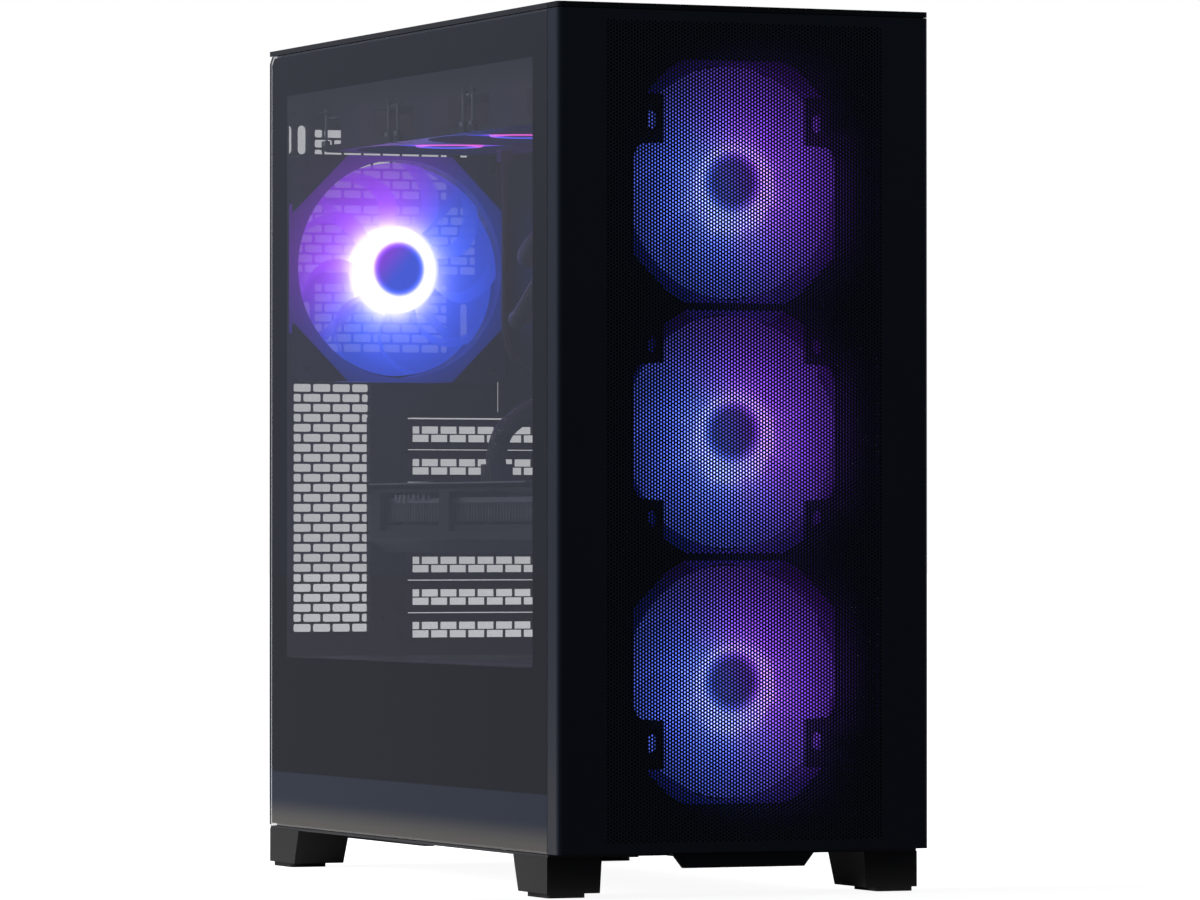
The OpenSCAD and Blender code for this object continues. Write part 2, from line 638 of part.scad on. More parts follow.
// One foot: upright outside, leaning in at its inner end, with a small bevel at its inner side.
module foot() {
    intersection() {
        sheet_yz(0, foot_w) polygon([[0, floor_z - base_t], [foot_l, floor_z - base_t],
            [foot_l - foot_lean, -foot_h], [0, -foot_h]]);
        sheet_xz(-1, foot_l + 2) polygon([[0, floor_z - base_t], [foot_w, floor_z - base_t],
            [foot_w - 1.2, -foot_h], [0, -foot_h]]);
    }
}
module feet() color("#0f0f11") in_case()
    for (s = [-1, 1], e = [-1, 1]) translate([s * half_w, e < 0 ? panel_y : foot_rear_end, 0])
        mirror([s > 0 ? 1 : 0, 0, 0]) mirror([0, e > 0 ? 1 : 0, 0]) difference() {
            foot();
            // the screw that holds the foot goes up this hole
            translate([foot_w - 12, foot_l / 2 - 4, -foot_h - 1]) cylinder(r = 4, h = foot_h - base_t - 3);
        }
module foot_pads() color("#1c1a18") in_case()
    for (s = [-1, 1], e = [-1, 1]) translate([s * half_w, e < 0 ? panel_y : foot_rear_end, 0])
        mirror([s > 0 ? 1 : 0, 0, 0]) mirror([0, e > 0 ? 1 : 0, 0])
            sheet_xy(-foot_h - pad_t, pad_t) round_area([1.5, foot_w - 9], [1.5, foot_l - foot_lean - 8], 3);

// ---------- Front ports and buttons ----------

button_y = 29;
tray_front = button_y + 7;
power_x = 96;
power_r = 6;
light_x = 78;
light_r = 3;
usb_x = [58, 38];
usb = [13.2, 5.8];
usb_c_x = 20;
jack_x = 6;
jack_r = 1.8;
flange_t = 1.2;
travel = 1;
module button(x, r) translate([x, button_y, 0]) {
    translate([0, 0, roof_z - flange_t - slip_gap]) cylinder(r = r + 1, h = flange_t);
    translate([0, 0, roof_z - slip_gap - eps]) cylinder(r = r, h = rim_h);
}
module power_button() color("#2b2b30") in_case() button(power_x, power_r);
module light_button() color("#2b2b30") in_case() button(light_x, light_r);

// The housing under the rim with its sockets.
module port_module() color("#0c0c0e") in_case() difference() {
    slab([-6, 106], [front_fan_y + 0.1, button_y + 6], [roof_z - 17, roof_z]);
    for (b = [[power_x, power_r], [light_x, light_r]])
        translate([b[0], button_y, roof_z - flange_t - slip_gap - travel - 0.4])
            cylinder(r = b[1] + 1 + slip_gap, h = 6);
    for (x = usb_x) slab([x - usb[0] / 2 + 0.4, x + usb[0] / 2 - 0.4], [button_y - usb[1] / 2 + 0.4, button_y + usb[1] / 2 - 0.4],
        [roof_z - 12, roof_z + 1]);
    sheet_xy(roof_z - 8, 10) slot_2d([usb_c_x - 3, button_y], [usb_c_x + 3, button_y], 3.2);
    translate([jack_x, button_y, roof_z - 14]) cylinder(r = jack_r, h = 16);
}

// ---------- Power supply ----------

psu_z = 6;
psu_fan_r = 58;
psu_y = rear_y - psu_d / 2;
module psu_case() color("#202024") in_case() {
    x = [-psu_w / 2, psu_w / 2];
    y = [rear_y - psu_d, rear_y];
    difference() {
        slab(x, y, [psu_z, psu_z + psu_h]);
        difference() {
            slab([x[0] + sheet_t, x[1] - sheet_t], [y[0] + sheet_t, y[1] - sheet_t],
                [psu_z + sheet_t, psu_z + psu_h - sheet_t]);
            // the parts inside: a coil block and a row of capacitors
            slab([x[0], x[0] + 52], [y[0], y[0] + 60], [psu_z + 34, psu_z + psu_h]);
            for (i = [0 : 3]) translate([18 + i * 13, y[0] + 18, psu_z + 36]) cylinder(r = 6, h = psu_h - 36);
        }
        translate([0, psu_y, psu_z - 1]) cylinder(r = psu_fan_r + 3, h = 3, $fn = 96);
        // outlet holes in the back
        for (i = [0 : 6], j = [0 : 5]) translate([-60 + i * 12 + (j % 2) * 6, y[1] - 2, psu_z + 16 + j * 11])
            along_y() cylinder(r = 4.2, h = 4);
        // openings for the inlet and the switch, and the output sockets
        slab(inlet_x, [y[1] - 2, y[1] + 1], inlet_z);
        slab(switch_x, [y[1] - 2, y[1] + 1], switch_z);
        for (px = [-60 : 24 : 36], z = [48, 66]) slab([px, px + 20], [y[0] - 1, y[0] + 2], [z, z + 10]);
    }
    // pads under the supply
    for (px = [-1, 1], py = [-1, 1]) translate([px * (psu_w / 2 - 8), psu_y + py * (psu_d / 2 - 8), floor_z])
        cylinder(r = 5, h = psu_z - floor_z + eps);
    // the sleeve and the struts that carry the rotor
    difference() {
        translate([0, psu_y, psu_z + 14]) cylinder(r = sleeve_r, h = 15);
        translate([0, psu_y, psu_z + 13]) cylinder(r = shaft_r + run_gap, h = 13);
    }
    slab([x[0] + eps, x[1] - eps], [psu_y - 3, psu_y + 3], [psu_z + 26.5, psu_z + 29]);
}
module psu_rotor() color("#2c2c30") in_case()
    translate([0, psu_y, psu_z + 1]) rotor(20, psu_fan_r, 25, 7, 34, 37);

// A guard of flat rings over the fan.
ring_t = 1.2;
module psu_grille() color("#3a3a3e") in_case() translate([0, psu_y, 0]) sheet_xy(psu_z - ring_t, ring_t) {
    difference() {
        for (r = [14 : 12 : psu_fan_r + 4]) difference() {
            circle(r + 0.8, $fn = 64);
            circle(r - 0.8, $fn = 64);
        }
        for (a = [0 : 90 : 270]) rotate(a + 45) area([13, psu_fan_r + 7], [-1, 1]);
    }
    for (a = [0 : 90 : 270]) rotate(a + 45) area([13, psu_fan_r + 7], [-1, 1]);
}

inlet_x = [40, 68];
inlet_z = [14, 36];
switch_x = [46, 62];
switch_z = [48, 70];
socket_wall = 1.5;
switch_mid = [(switch_x[0] + switch_x[1]) / 2, (switch_z[0] + switch_z[1]) / 2];
pivot_y = rear_y - 3;
module psu_inlet() color("#0b0b0c") in_case() {
    // mains inlet with three pins
    difference() {
        slab(inlet_x, [rear_y - 18, rear_y + 1.5], inlet_z);
        slab([inlet_x[0] + 2.5, inlet_x[1] - 2.5], [rear_y - 14, rear_y + 3], [inlet_z[0] + 3, inlet_z[1] - 3]);
    }
    mid = [(inlet_x[0] + inlet_x[1]) / 2, (inlet_z[0] + inlet_z[1]) / 2];
    for (p = [[-7, 1.5], [0, -1.5], [7, 1.5]])
        slab([mid[0] + p[0] - 1, mid[0] + p[0] + 1], [rear_y - 15, rear_y - 3], [mid[1] + p[1] - 2, mid[1] + p[1] + 2]);
    // the switch's housing
    difference() {
        slab(switch_x, [rear_y - 12, rear_y + 1], switch_z);
        slab([switch_x[0] + socket_wall, switch_x[1] - socket_wall], [rear_y - 10, rear_y + 2],
            [switch_z[0] + socket_wall, switch_z[1] - socket_wall]);
        translate([switch_x[0] - 1, pivot_y, switch_mid[1]]) rotate([0, 90, 0])
            cylinder(r = 1.2 + run_gap, h = switch_x[1] - switch_x[0] + 2);
    }
}
rocker_angle = 8;
module psu_switch() color("#17171a") in_case() translate([0, pivot_y, switch_mid[1]]) rotate([rocker_angle, 0, 0]) {
    x = [switch_x[0] + socket_wall + slip_gap, switch_x[1] - socket_wall - slip_gap];
    h = (switch_z[1] - switch_z[0]) / 2 - socket_wall - 0.8;
    sheet_yz(x[0], x[1] - x[0]) polygon([[-2.5, -h + 1.5], [2, -h], [3.6, -h], [2.6, 0], [3.6, h], [2, h], [-2.5, h - 1.5]]);
    translate([switch_x[0] + 0.2, 0, 0]) rotate([0, 90, 0]) cylinder(r = 1.2, h = switch_x[1] - switch_x[0] - 0.4);
}

// ---------- Motherboard and what is on it ----------

// A block on the board, from its ranges along y and z as distances from the board's rear
// and lower edges, and its height.
module on_board(y, z, h, base = 0) slab([board_x - base - h, board_x - base],
    [board_y - y[1], board_y - y[0]], [board_z + z[0], board_z + z[1]]);
board_holes = [for (y = [6.4, 163, 237.5], z = [6.4, 130, 298.5]) [y, z]];
module motherboard() color("#121316") in_case() sheet_yz(board_x, board_t) difference() {
    area([board_y - board_d, board_y], [board_z, board_z + board_h]);
    for (p = board_holes) translate([board_y - p[0], board_z + p[1]]) circle(2);
}

cover_d = 52;
module io_cover() color("#1c1d21") in_case() {
    // the cover is hollow over the port blocks
    difference() {
        union() {
            on_board([5, cover_d], [136, 294], 38);
            on_board([cover_d - eps, cover_d + 10], [150, 282], 26);
        }
        on_board([4, cover_d - 2], [138, 292], 36, -1);
        for (z = [0 : 11]) on_board([cover_d - 3, cover_d + 11], [160 + z * 10, 165 + z * 10], 20, 8);
    }
    // stacks of sockets facing the rear
    for (b = io_ports) difference() {
        on_board([0.3, 22], b[0], 33 - b[2]);
        on_board([-1, 12], [b[0][0] + 1.5, b[0][1] - 1.5], 30 - b[2], 4);
    }
}
// ranges up the board and how much narrower each stack of sockets is
io_ports = [[[142, 158], 0, 4], [[164, 180], 0, 4], [[186, 202], 0, 0], [[212, 228], 0, 0], [[234, 250], 0, 4],
    [[258, 276], 0, 8]];
module io_shield() color("#2a2b30") in_case() sheet_xz(rear_y - 1.2, 1) difference() {
    area([io_x - io_size[0] / 2 + 0.3, io_x + io_size[0] / 2 - 1], [io_z - io_size[1] / 2 - 1, io_z + io_size[1] / 2 + 1]);
    for (b = io_ports) area([board_x - 33.5 + b[2], max(board_x - 1, board_x - 33.5)],
        [board_z + b[0][0] + 0.5, board_z + b[0][1] - 0.5]);
}

// A heatsink block with slots cut across it.
module finned(y, z, h, step) difference() {
    on_board(y, z, h);
    for (a = [z[0] + 3 : step : z[1] - 4]) on_board([y[0] - 1, y[1] + 1], [a, a + step * 0.45], h, 7);
}
module board_heatsinks() color("#2b2d33") in_case() {
    finned([cover_d + 12, cover_d + 30], [168, 282], 30, 7);
    on_board([cover_d + 34, 158], [280, 296], 26);
    on_board([60, 168], [101, 121], 9);
    on_board([60, 174], [40, 60], 9);
    on_board([178, 226], [64, 114], 9);
}

memory_y = 170;
memory_pitch = 9.5;
memory_z = [162, 295];
memory_h = 38;
module each_memory() for (i = [0 : memory_count - 1]) translate([0, -i * memory_pitch, 0]) children();
module memory_modules() color("#1e2024") in_case() each_memory() {
    on_board([memory_y, memory_y + 1.4], memory_z, memory_h, 4);
    difference() {
        on_board([memory_y - 2.4, memory_y + 3.8], [memory_z[0] + 1, memory_z[1] - 1], memory_h - 10, 14);
        on_board([memory_y - 3, memory_y - 1.4], [memory_z[0] + 20, memory_z[1] - 20], 6, 24);
    }
}
module memory_lights() color("#ff5a7a") in_case() each_memory()
    on_board([memory_y - 2.4, memory_y + 3.8], [memory_z[0] + 1, memory_z[1] - 1], 5, 4 + memory_h);

card_top = slot_z - 2 * slot_pitch + 10;
pcb_z = card_top - 5.6;
module expansion_slots() color("#0d0d0f") in_case() {
    // memory sockets
    each_memory() difference() {
        on_board([memory_y - 2.6, memory_y + 4], [memory_z[0] - 4, memory_z[1] + 4], 9);
        on_board([memory_y - slip_gap, memory_y + 1.4 + slip_gap], [memory_z[0] - 0.5, memory_z[1] + 0.5], 6, 3.5);
    }
    // card sockets: the upper one holds the graphics card
    for (z = [pcb_z - board_z, pcb_z - board_z - 3 * slot_pitch]) difference() {
        on_board([52, 141], [z - 3.6, z + 5], 11);
        on_board([54, 139], [z - slip_gap, z + 1.6 + slip_gap], 9, 3);
    }
}

module board_sockets() color("#16161a") in_case() {
    // main power, processor power, drive and fan sockets
    difference() {
        on_board([232, 243], [power_low, power_low + 52], 13);
        on_board([234, 241], [power_low + 2, power_low + 50], 10, 4);
    }
    difference() {
        on_board([12, 32], [297, 304.5], 12);
        on_board([14, 30], [299, 303], 9, 4);
    }
    for (z = [70, 90]) on_board([230, 243.5], [z, z + 16], 10);
    for (y = [112, 128]) on_board([y, y + 10], [298, 304], 9);
}

// ---------- Cooler ----------

pump_y = board_y - 122;
pump_z = board_z + 222;
module pump_block() color("#15161a") in_case() translate([board_x, pump_y, pump_z]) rotate([0, -90, 0]) {
    // processor, retention ring and cold plate
    translate([-22, -22, eps]) cube([44, 44, 6]);
    translate([0, 0, 6]) cylinder(r = pump_d / 2 + 8, h = 3);
    for (a = [45 : 90 : 315]) rotate(a) translate([46, 0, eps]) {
        cylinder(r = 3.5, h = 12);
        translate([-20, -5, 6]) cube([20, 10, 3]);
    }
    translate([0, 0, 6]) cylinder(r = pump_d / 2, h = pump_h - 6, $fn = 96);
    // swivel elbows that take the tubes
    for (s = [-1, 1]) translate([s * elbow_gap, 0, pump_h - 12]) {
        translate([0, -pump_d / 2 + 4, 0]) rotate([90, 0, 0]) cylinder(r = elbow_r, h = 6);
        translate([0, -elbow_out, -elbow_r]) cylinder(r = elbow_r, h = elbow_r + 18);
    }
}

module radiator() color("#17171a") in_case() {
    x = [radiator_x - slim_size / 2, radiator_x + slim_size / 2];
    y = [radiator_y - radiator_l / 2, radiator_y + radiator_l / 2];
    core = [radiator_y - 3 * slim_size / 2, radiator_y + 3 * slim_size / 2];
    z = [radiator_z, recess_z];
    difference() {
        slab(x, y, z);
        // flat tubes and fins show between the side rails and the tanks
        for (i = [0 : 10]) slab([x[0] + 6 + i * 9.9, x[0] + 12.6 + i * 9.9], [core[0] + 4, core[1] - 4], [z[0] - 1, z[0] + 9]);
        for (i = [0 : 10]) slab([x[0] + 6 + i * 9.9, x[0] + 12.6 + i * 9.9], [core[0] + 4, core[1] - 4], [z[1] - 9, z[1] + 1]);
    }
    for (p = tube_ports) translate([p[0], p[1], radiator_z - 8]) cylinder(r = tube_d / 2 + 1.5, h = 8 + eps);
}
tank_y = radiator_y - radiator_l / 2 + 9;
tube_ports = [[radiator_x + 10, tank_y], [radiator_x + 36, tank_y]];
elbow_gap = 14;
elbow_r = tube_d / 2 + 1.5;
elbow_out = pump_d / 2 + 3;
elbow_x = board_x - pump_h - 6;
elbow_y = pump_y - elbow_out;
tube_top = radiator_z - 8;
// bends of the two tubes, from the pump out towards the glass, up and forward to the tank
bends = [
    [[-34, -5, -6], [-50, -16, -14], [-56, -40, -10], [-54, -70, 12], [-50, -112, 42], [-44, -160, 66]],
    [[-34, -6, -4], [-47, -22, -4], [-50, -50, 6], [-44, -86, 20], [-32, -136, 36], [-20, -185, 44]],
];
module coolant_tubes() color("#0c0c0e") in_case() for (i = [0, 1]) {
    z = pump_z + (i == 0 ? -elbow_gap : elbow_gap);
    p = tube_ports[i];
    tube(concat([[elbow_x, elbow_y, z], [elbow_x - 6, elbow_y, z], [elbow_x - 13, elbow_y, z]],
        [for (b = bends[i]) [elbow_x + 12 + b[0], elbow_y + b[1], z + b[2]]],
        [[p[0], tank_y + 42, tube_top - 35], [p[0], tank_y + 15, tube_top - 31], [p[0], tank_y + 2, tube_top - 20],
            [p[0], tank_y, tube_top - 10], [p[0], tank_y, tube_top - 5], [p[0], tank_y, tube_top]]),
        tube_d, [0.1, 0.4, 0.91], 12, 5);
}

// ---------- Graphics card ----------

card_x = [board_x - card_w, board_x - 8];
card_y = [rear_y - 4 - card_l, rear_y - 4];
card_low = card_top - card_t;
card_fan_x = (card_x[0] + card_x[1]) / 2 - 1;
function card_fan_y(i) = card_y[0] + card_l / 2 + (i - 1) * (2 * card_fan_r + 6);
shroud_edge = 1.2;
module card_shroud() color("#1d1e22") in_case() difference() {
    union() {
        // outer skin with bevelled lower edges
        translate([0, card_y[1], 0]) rotate([90, 0, 0]) linear_extrude(card_l) polygon([
            [card_x[0], pcb_z], [card_x[0], card_low + 8], [card_x[0] + 8, card_low],
            [card_x[1] - 14, card_low], [card_x[1] - 6, card_low + 8], [card_x[1] - 6, pcb_z]]);
    }
    // hollow, open towards the board
    slab([card_x[0] + 3, card_x[1] - 9], [card_y[0] + 3, card_y[1] + 1], [card_low + 17, card_top]);
    for (i = [0 : 2]) translate([card_fan_x, card_fan_y(i), card_low - 1]) cylinder(r = card_fan_r + 1.4, h = 40, $fn = 96);
    // windows towards the glass
    slab([card_x[0] - 1, card_x[0] + 4], [card_y[1] - 118, card_y[1] - 20], [card_top - 30, card_top - 6]);
    slab([card_x[0] - 1, card_x[0] + 4], [card_y[0] + 14, card_y[1] - 134], [card_top - 30, card_top - 6]);
    // slanted rear corner below
    translate([card_x[0] - 1, card_y[1] - 9, card_low - 1]) rotate([-45, 0, 0]) cube([card_w + 2, 30, 14]);
}
module card_heatsink() color("#8a8d93") in_case() {
    x = [card_x[0] + 5, card_x[1] - 11];
    z = [card_low + 19, pcb_z - 4];
    step = 4.6;
    slab(x, [card_y[0] + 8, card_y[1] - 18], [z[1] - 3, z[1]]);
    for (y = [card_y[0] + 8 : step : card_y[1] - 20]) slab(x, [y, y + 1], [z[0], z[1] - 3 + eps]);
    // pads to the card, and heat pipes along the fins
    slab([card_x[0] + 45, card_x[0] + 90], [card_y[1] - 180, card_y[1] - 120], [z[1] - eps, pcb_z]);
    for (p = [[0, 5], [0, 12]]) translate([x[0] + 4, card_y[0] + 10, z[0] + p[1]]) along_y()
        cylinder(r = 2.6, h = card_l - 32);
    for (i = [0 : 2]) translate([card_fan_x, card_fan_y(i), 0]) difference() {
        translate([0, 0, card_low + 8]) cylinder(r = sleeve_r, h = z[0] - card_low - 8 + 1);
        translate([0, 0, card_low + 7]) cylinder(r = shaft_r + run_gap, h = 10.5);
    }
}
module card_backplate() color("#2a2b2f") in_case() {
    // the metal plate on the card's back, and the card itself under it
    sheet_xy(card_top - 1.2, 1.2) difference() {
        round_area([card_x[0], card_x[1] - 4], [card_y[0], card_y[1] + 2], 2);
        for (i = [0 : 5]) slot_2d([card_x[0] + 24, card_y[0] + 20 + i * 9], [card_x[1] - 34, card_y[0] + 20 + i * 9], 4);
    }
    sheet_xy(pcb_z, 1.6) {
        area([card_x[0] + 3, card_x[1] - 4], [card_y[0] + 46, card_y[1] + 2]);
        area([card_x[1] - 5, board_x - 3.5], [board_y - 138, board_y - 55]);
    }
    for (x = [card_x[0] + 12, card_x[1] - 16], y = [card_y[0] + 56, card_y[1] - 12])
        translate([x, y, pcb_z + 1.6 - eps]) cylinder(r = 3, h = card_top - 1.2 - pcb_z - 1.6 + 2 * eps);
}
function socket_x(i) = cover_x[0] + 11 + i * 20;
module card_bracket() color("#77797e") in_case() {
    z = [cover_z(3) - cover_w / 2, cover_z(2) + cover_w / 2];
    sheet_xz(rear_y - 1.2, 1) difference() {
        area(cover_x, z);
        // display sockets in one row and vent holes in the other
        for (i = [0 : 3]) area([socket_x(i), socket_x(i) + 16.4], [z[1] - 17, z[1] - 10]);
        bricks([cover_x[0] + 6, cover_x[1] - 8], [z[0] + 4, z[0] + 13.7], [11, 4.5], [12.5, 5.2], true);
    }
    // sockets behind the bracket
    for (i = [0 : 3]) difference() {
        slab([socket_x(i) - 0.6, socket_x(i) + 17], [rear_y - 18, rear_y - 1.2 + eps], [z[1] - 17.6, pcb_z]);
        slab([socket_x(i), socket_x(i) + 16.4], [rear_y - 12, rear_y], [z[1] - 17, z[1] - 10]);
    }
}
module card_rotor(i) color("#26272b") in_case()
    translate([card_fan_x, card_fan_y(i), card_low]) rotor(15, card_fan_r, 19, 11, 18, 35);

cable_d = 12;
plug_y = card_y[0] + 107;
module card_cable() color("#101013") in_case() {
    // plug at the card's edge, and the sleeved cable to the tray
    slab([card_x[0] + 0.5, card_x[0] + 14], [plug_y - 9, plug_y + 9], [card_top + slip_gap, card_top + 10]);
    tube([[card_x[0] + 7, plug_y, card_top + 9], [card_x[0] + 7, plug_y, card_top + 16],
        [card_x[0] + 13, plug_y - 2, card_top + 32], [card_x[0] + 34, plug_y - 8, card_top + 46],
        [card_x[0] + 66, plug_y - 22, card_top + 58], [card_x[0] + 100, plug_y - 60, card_top + 56],
        [tray_x - 12, plug_y - 76, card_top + 50], [tray_x + 8, plug_y - 76, card_top + 48]], cable_d, [0, 1, 0], 10, 5);
}
module board_cable() color("#101013") in_case() {
    // main power plug and its flat bundle of wires
    y = board_y - 237.5;
    on_board([234.4, 240.6], [power_low + 2.4, power_low + 49.6], 14, 8);
    for (z = [power_low + 10 : 10.5 : power_low + 42]) tube([[board_x - 21, y, board_z + z], [board_x - 27, y - 1, board_z + z],
        [board_x - 30, y - 8, board_z + z], [board_x - 22, y - 18, board_z + z + 1],
        [tray_x - 8, y - 26, board_z + z + 4], [tray_x + 6, y - 29, board_z + z + 6]], 8, [0, 0, 1], 8, 4);
}

// ---------- Slot covers, clamp and screws ----------

module slot_covers() color("#202125") in_case() for (k = [0, 1, 4, 5, 6])
    sheet_xz(rear_y - 1.2, 1) difference() {
        area(cover_x, [cover_z(k) - cover_w / 2, cover_z(k) + cover_w / 2]);
        bricks([cover_x[0] + 5.7, cover_x[1] - 3], [cover_z(k) - 4.9, cover_z(k) + 4.9], [11, 4.5], [12.5, 5.2], true);
    }

clamp_rows = [cover_z(0) + 1, cover_z(6) + 7];
module slot_clamp() color("#222327") in_case() sheet_xz(rear_y - 1.5, 1.5) difference() {
    round_area([clamp_x - 9, cover_x[0] - 1], [cover_z(6) - 12, cover_z(0) + 12], 3);
    for (z = clamp_rows) translate([clamp_x, z]) circle(2);
}

screw_gap = 0.1;
module fan_screws(y, holes, dir) for (x = [-1, 1], z = [-1, 1]) translate([x * holes / 2, 0, z * holes / 2]) {
    translate([0, y, 0]) rotate([-90 * dir, 0, 0]) {
        translate([0, 0, -1.6]) cylinder(r = 3.8, h = 1.6);
        translate([0, 0, -eps]) cylinder(r = screw_hole_r - screw_gap, h = 9);
    }
}
module case_screws() color("#2e2f33") in_case() {
    for (i = [0 : 2]) translate([front_fan_x, 0, front_fan_z(i)]) fan_screws(wall_y, fan_holes, 1);
    translate([rear_fan_x, 0, rear_fan_z]) fan_screws(rear_y + sheet_t, fan_holes, -1);
    // standoffs on the tray, with their screws through the board
    for (p = board_holes) translate([board_x, board_y - p[0], board_z + p[1]]) rotate([0, 90, 0]) {
        translate([0, 0, board_t]) cylinder(r = 3, h = standoff_h);
        translate([0, 0, -1.6]) cylinder(r = 3, h = 1.6);
        translate([0, 0, -eps]) cylinder(r = 1.8, h = board_t + 2 * eps);
    }
}

// ---------- Nodes ----------

base_plate();
rear_panel();
front_wall();
top_plate();
board_tray();
psu_shroud();
right_panel();
thumbscrews();
glass_panel();
glass_frame();
front_shell();
front_mesh();
front_frame();
pull_lip();
top_filter();
bottom_filter();
feet();
foot_pads();
port_module();
power_button();
light_button();
psu_case();
psu_grille();
psu_rotor();
psu_inlet();
psu_switch();
motherboard();
io_cover();
io_shield();
board_heatsinks();
memory_modules();
memory_lights();
expansion_slots();
board_sockets();
pump_block();
coolant_tubes();
radiator();
radiator_fans();
radiator_rotor(0);  // radiator_rotor_1
radiator_rotor(1);  // radiator_rotor_2
radiator_rotor(2);  // radiator_rotor_3
card_shroud();
card_heatsink();
card_backplate();
card_bracket();
card_rotor(0);  // card_rotor_1
card_rotor(1);  // card_rotor_2
card_rotor(2);  // card_rotor_3
card_cable();
board_cable();
front_fans();
front_rotor(0);  // front_rotor_1
front_rotor(1);  // front_rotor_2
front_rotor(2);  // front_rotor_3
rear_fan();
rear_rotor();
slot_covers();
slot_clamp();
case_screws();
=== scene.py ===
# %% [markdown]
# # A desktop tower in steel, glass and light
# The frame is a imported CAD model: every part of the computer at its real size. This lesson
# dresses it. Black steel, tinted glass and lit fans are hard to show well, because most of
# what the eye reads on them is reflection and glow. So the surroundings are built first, the
# finishes second, and the fine pieces that a CAD model leaves coarse come last.

# %% Load the frame
import math
import bpy
import numpy as np
from mathutils import Matrix, Vector


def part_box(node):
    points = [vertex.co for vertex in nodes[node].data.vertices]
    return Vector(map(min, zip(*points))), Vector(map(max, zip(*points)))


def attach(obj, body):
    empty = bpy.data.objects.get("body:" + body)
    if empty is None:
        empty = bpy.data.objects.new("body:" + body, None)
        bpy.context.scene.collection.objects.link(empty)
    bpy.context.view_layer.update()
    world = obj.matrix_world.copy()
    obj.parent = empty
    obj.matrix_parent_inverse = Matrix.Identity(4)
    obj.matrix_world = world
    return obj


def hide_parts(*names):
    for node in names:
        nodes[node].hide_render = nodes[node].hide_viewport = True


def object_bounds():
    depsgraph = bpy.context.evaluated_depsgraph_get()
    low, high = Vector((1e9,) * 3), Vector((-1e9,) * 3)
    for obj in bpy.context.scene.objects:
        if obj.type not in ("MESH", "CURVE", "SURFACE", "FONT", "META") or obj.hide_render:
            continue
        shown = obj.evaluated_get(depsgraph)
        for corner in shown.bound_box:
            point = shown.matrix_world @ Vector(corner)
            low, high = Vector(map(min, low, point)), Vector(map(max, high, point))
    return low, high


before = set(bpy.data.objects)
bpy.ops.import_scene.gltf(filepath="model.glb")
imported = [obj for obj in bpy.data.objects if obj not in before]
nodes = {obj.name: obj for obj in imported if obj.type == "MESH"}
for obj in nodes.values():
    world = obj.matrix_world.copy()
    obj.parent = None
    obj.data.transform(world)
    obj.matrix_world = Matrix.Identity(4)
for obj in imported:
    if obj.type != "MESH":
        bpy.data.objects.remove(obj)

MM = 0.001
cad_low, cad_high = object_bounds()
size = cad_high - cad_low
print("CAD box in mm:", [round(v / MM, 1) for v in size])

# %% [markdown]
# ## Camera
# A long lens from four metres away keeps the upright edges nearly parallel. The camera stands
# low, at less than half of the tower's height, so neither the top nor the floor under the
# case shows. It looks at the corner between the glass and the front.

# %% Camera
view_from = Vector((-1.6515, -3.8967, 0.2042))
view_turn, view_rise = math.radians(-23.08), math.radians(0.685)
lens_mm, sensor_mm = 213.1, 36

camera = bpy.data.objects.new("camera", bpy.data.cameras.new("camera"))
camera.data.lens, camera.data.sensor_width = lens_mm, sensor_mm
camera.location = view_from
camera.rotation_euler = (math.radians(90) + view_rise, 0, view_turn)
bpy.context.scene.collection.objects.link(camera)
bpy.context.scene.camera = camera
bpy.context.scene.view_settings.view_transform = "Standard"
print("camera at", tuple(round(v, 2) for v in view_from))

# %% [markdown]
# ## A short hand for nodes
# Node trees built in code get long. This small class adds a node, sets its inputs by name and
# links sockets, so that each finish below reads as a recipe. The sums that every effect needs,
# such as noise, a smooth step or a blend of two colours, have a short name of their own.

# %% Node helper
class Tree:
    """Adds nodes to one tree; an input takes a number, a colour or another node's socket."""

    def __init__(self, tree):
        self.tree = tree

    def feed(self, socket, value):
        if isinstance(value, bpy.types.NodeSocket):
            self.tree.links.new(value, socket)
        else:
            socket.default_value = value

    def add(self, kind, inputs=None, **settings):
        node = self.tree.nodes.new("ShaderNode" + kind)
        for name, value in settings.items():
            setattr(node, name, value)
        for name, value in (inputs or {}).items():
            self.feed(node.inputs[name], value)
        return node

    def use(self, group, inputs):
        """Places a node group; inputs that the group doesn't have are passed over."""
        node = self.add("Group", node_tree=group)
        for name in inputs:
            if name in node.inputs:
                self.feed(node.inputs[name], inputs[name])
        return node

    def math(self, operation, *values, clamp=False):
        node = self.add("Math", dict(enumerate(values)), operation=operation, use_clamp=clamp)
        return node.outputs[0]

    def vector(self, operation, *values):
        node = self.add("VectorMath", dict(enumerate(values)), operation=operation)
        return node.outputs["Value" if operation in ("DOT_PRODUCT", "LENGTH") else "Vector"]

    def scale(self, vector, factor):
        """A vector or a colour times a number."""
        return self.add("VectorMath", {0: vector, "Scale": factor}, operation="SCALE").outputs["Vector"]

    def noise(self, vector, scale, detail=2.0):
        return self.add("TexNoise", {"Vector": vector, "Scale": scale, "Detail": detail}).outputs["Fac"]

    def span(self, value, low, high, to_low=0.0, to_high=1.0):
        """Maps low..high to to_low..to_high along a smooth step."""
        inputs = {"Value": value, "From Min": low, "From Max": high, "To Min": to_low, "To Max": to_high}
        return self.add("MapRange", inputs, interpolation_type="SMOOTHSTEP").outputs["Result"]

    def blend(self, share, first, second, how="MIX"):
        """Two colours; the numbers are the places of the colour inputs on this node."""
        inputs = {0: share, 6: first, 7: second}
        return self.add("Mix", inputs, data_type="RGBA", blend_type=how).outputs[2]

    def choose(self, share, first, second):
        """Two shaders, such as one for each kind of ray."""
        return self.add("MixShader", {0: share, 1: first, 2: second}).outputs[0]

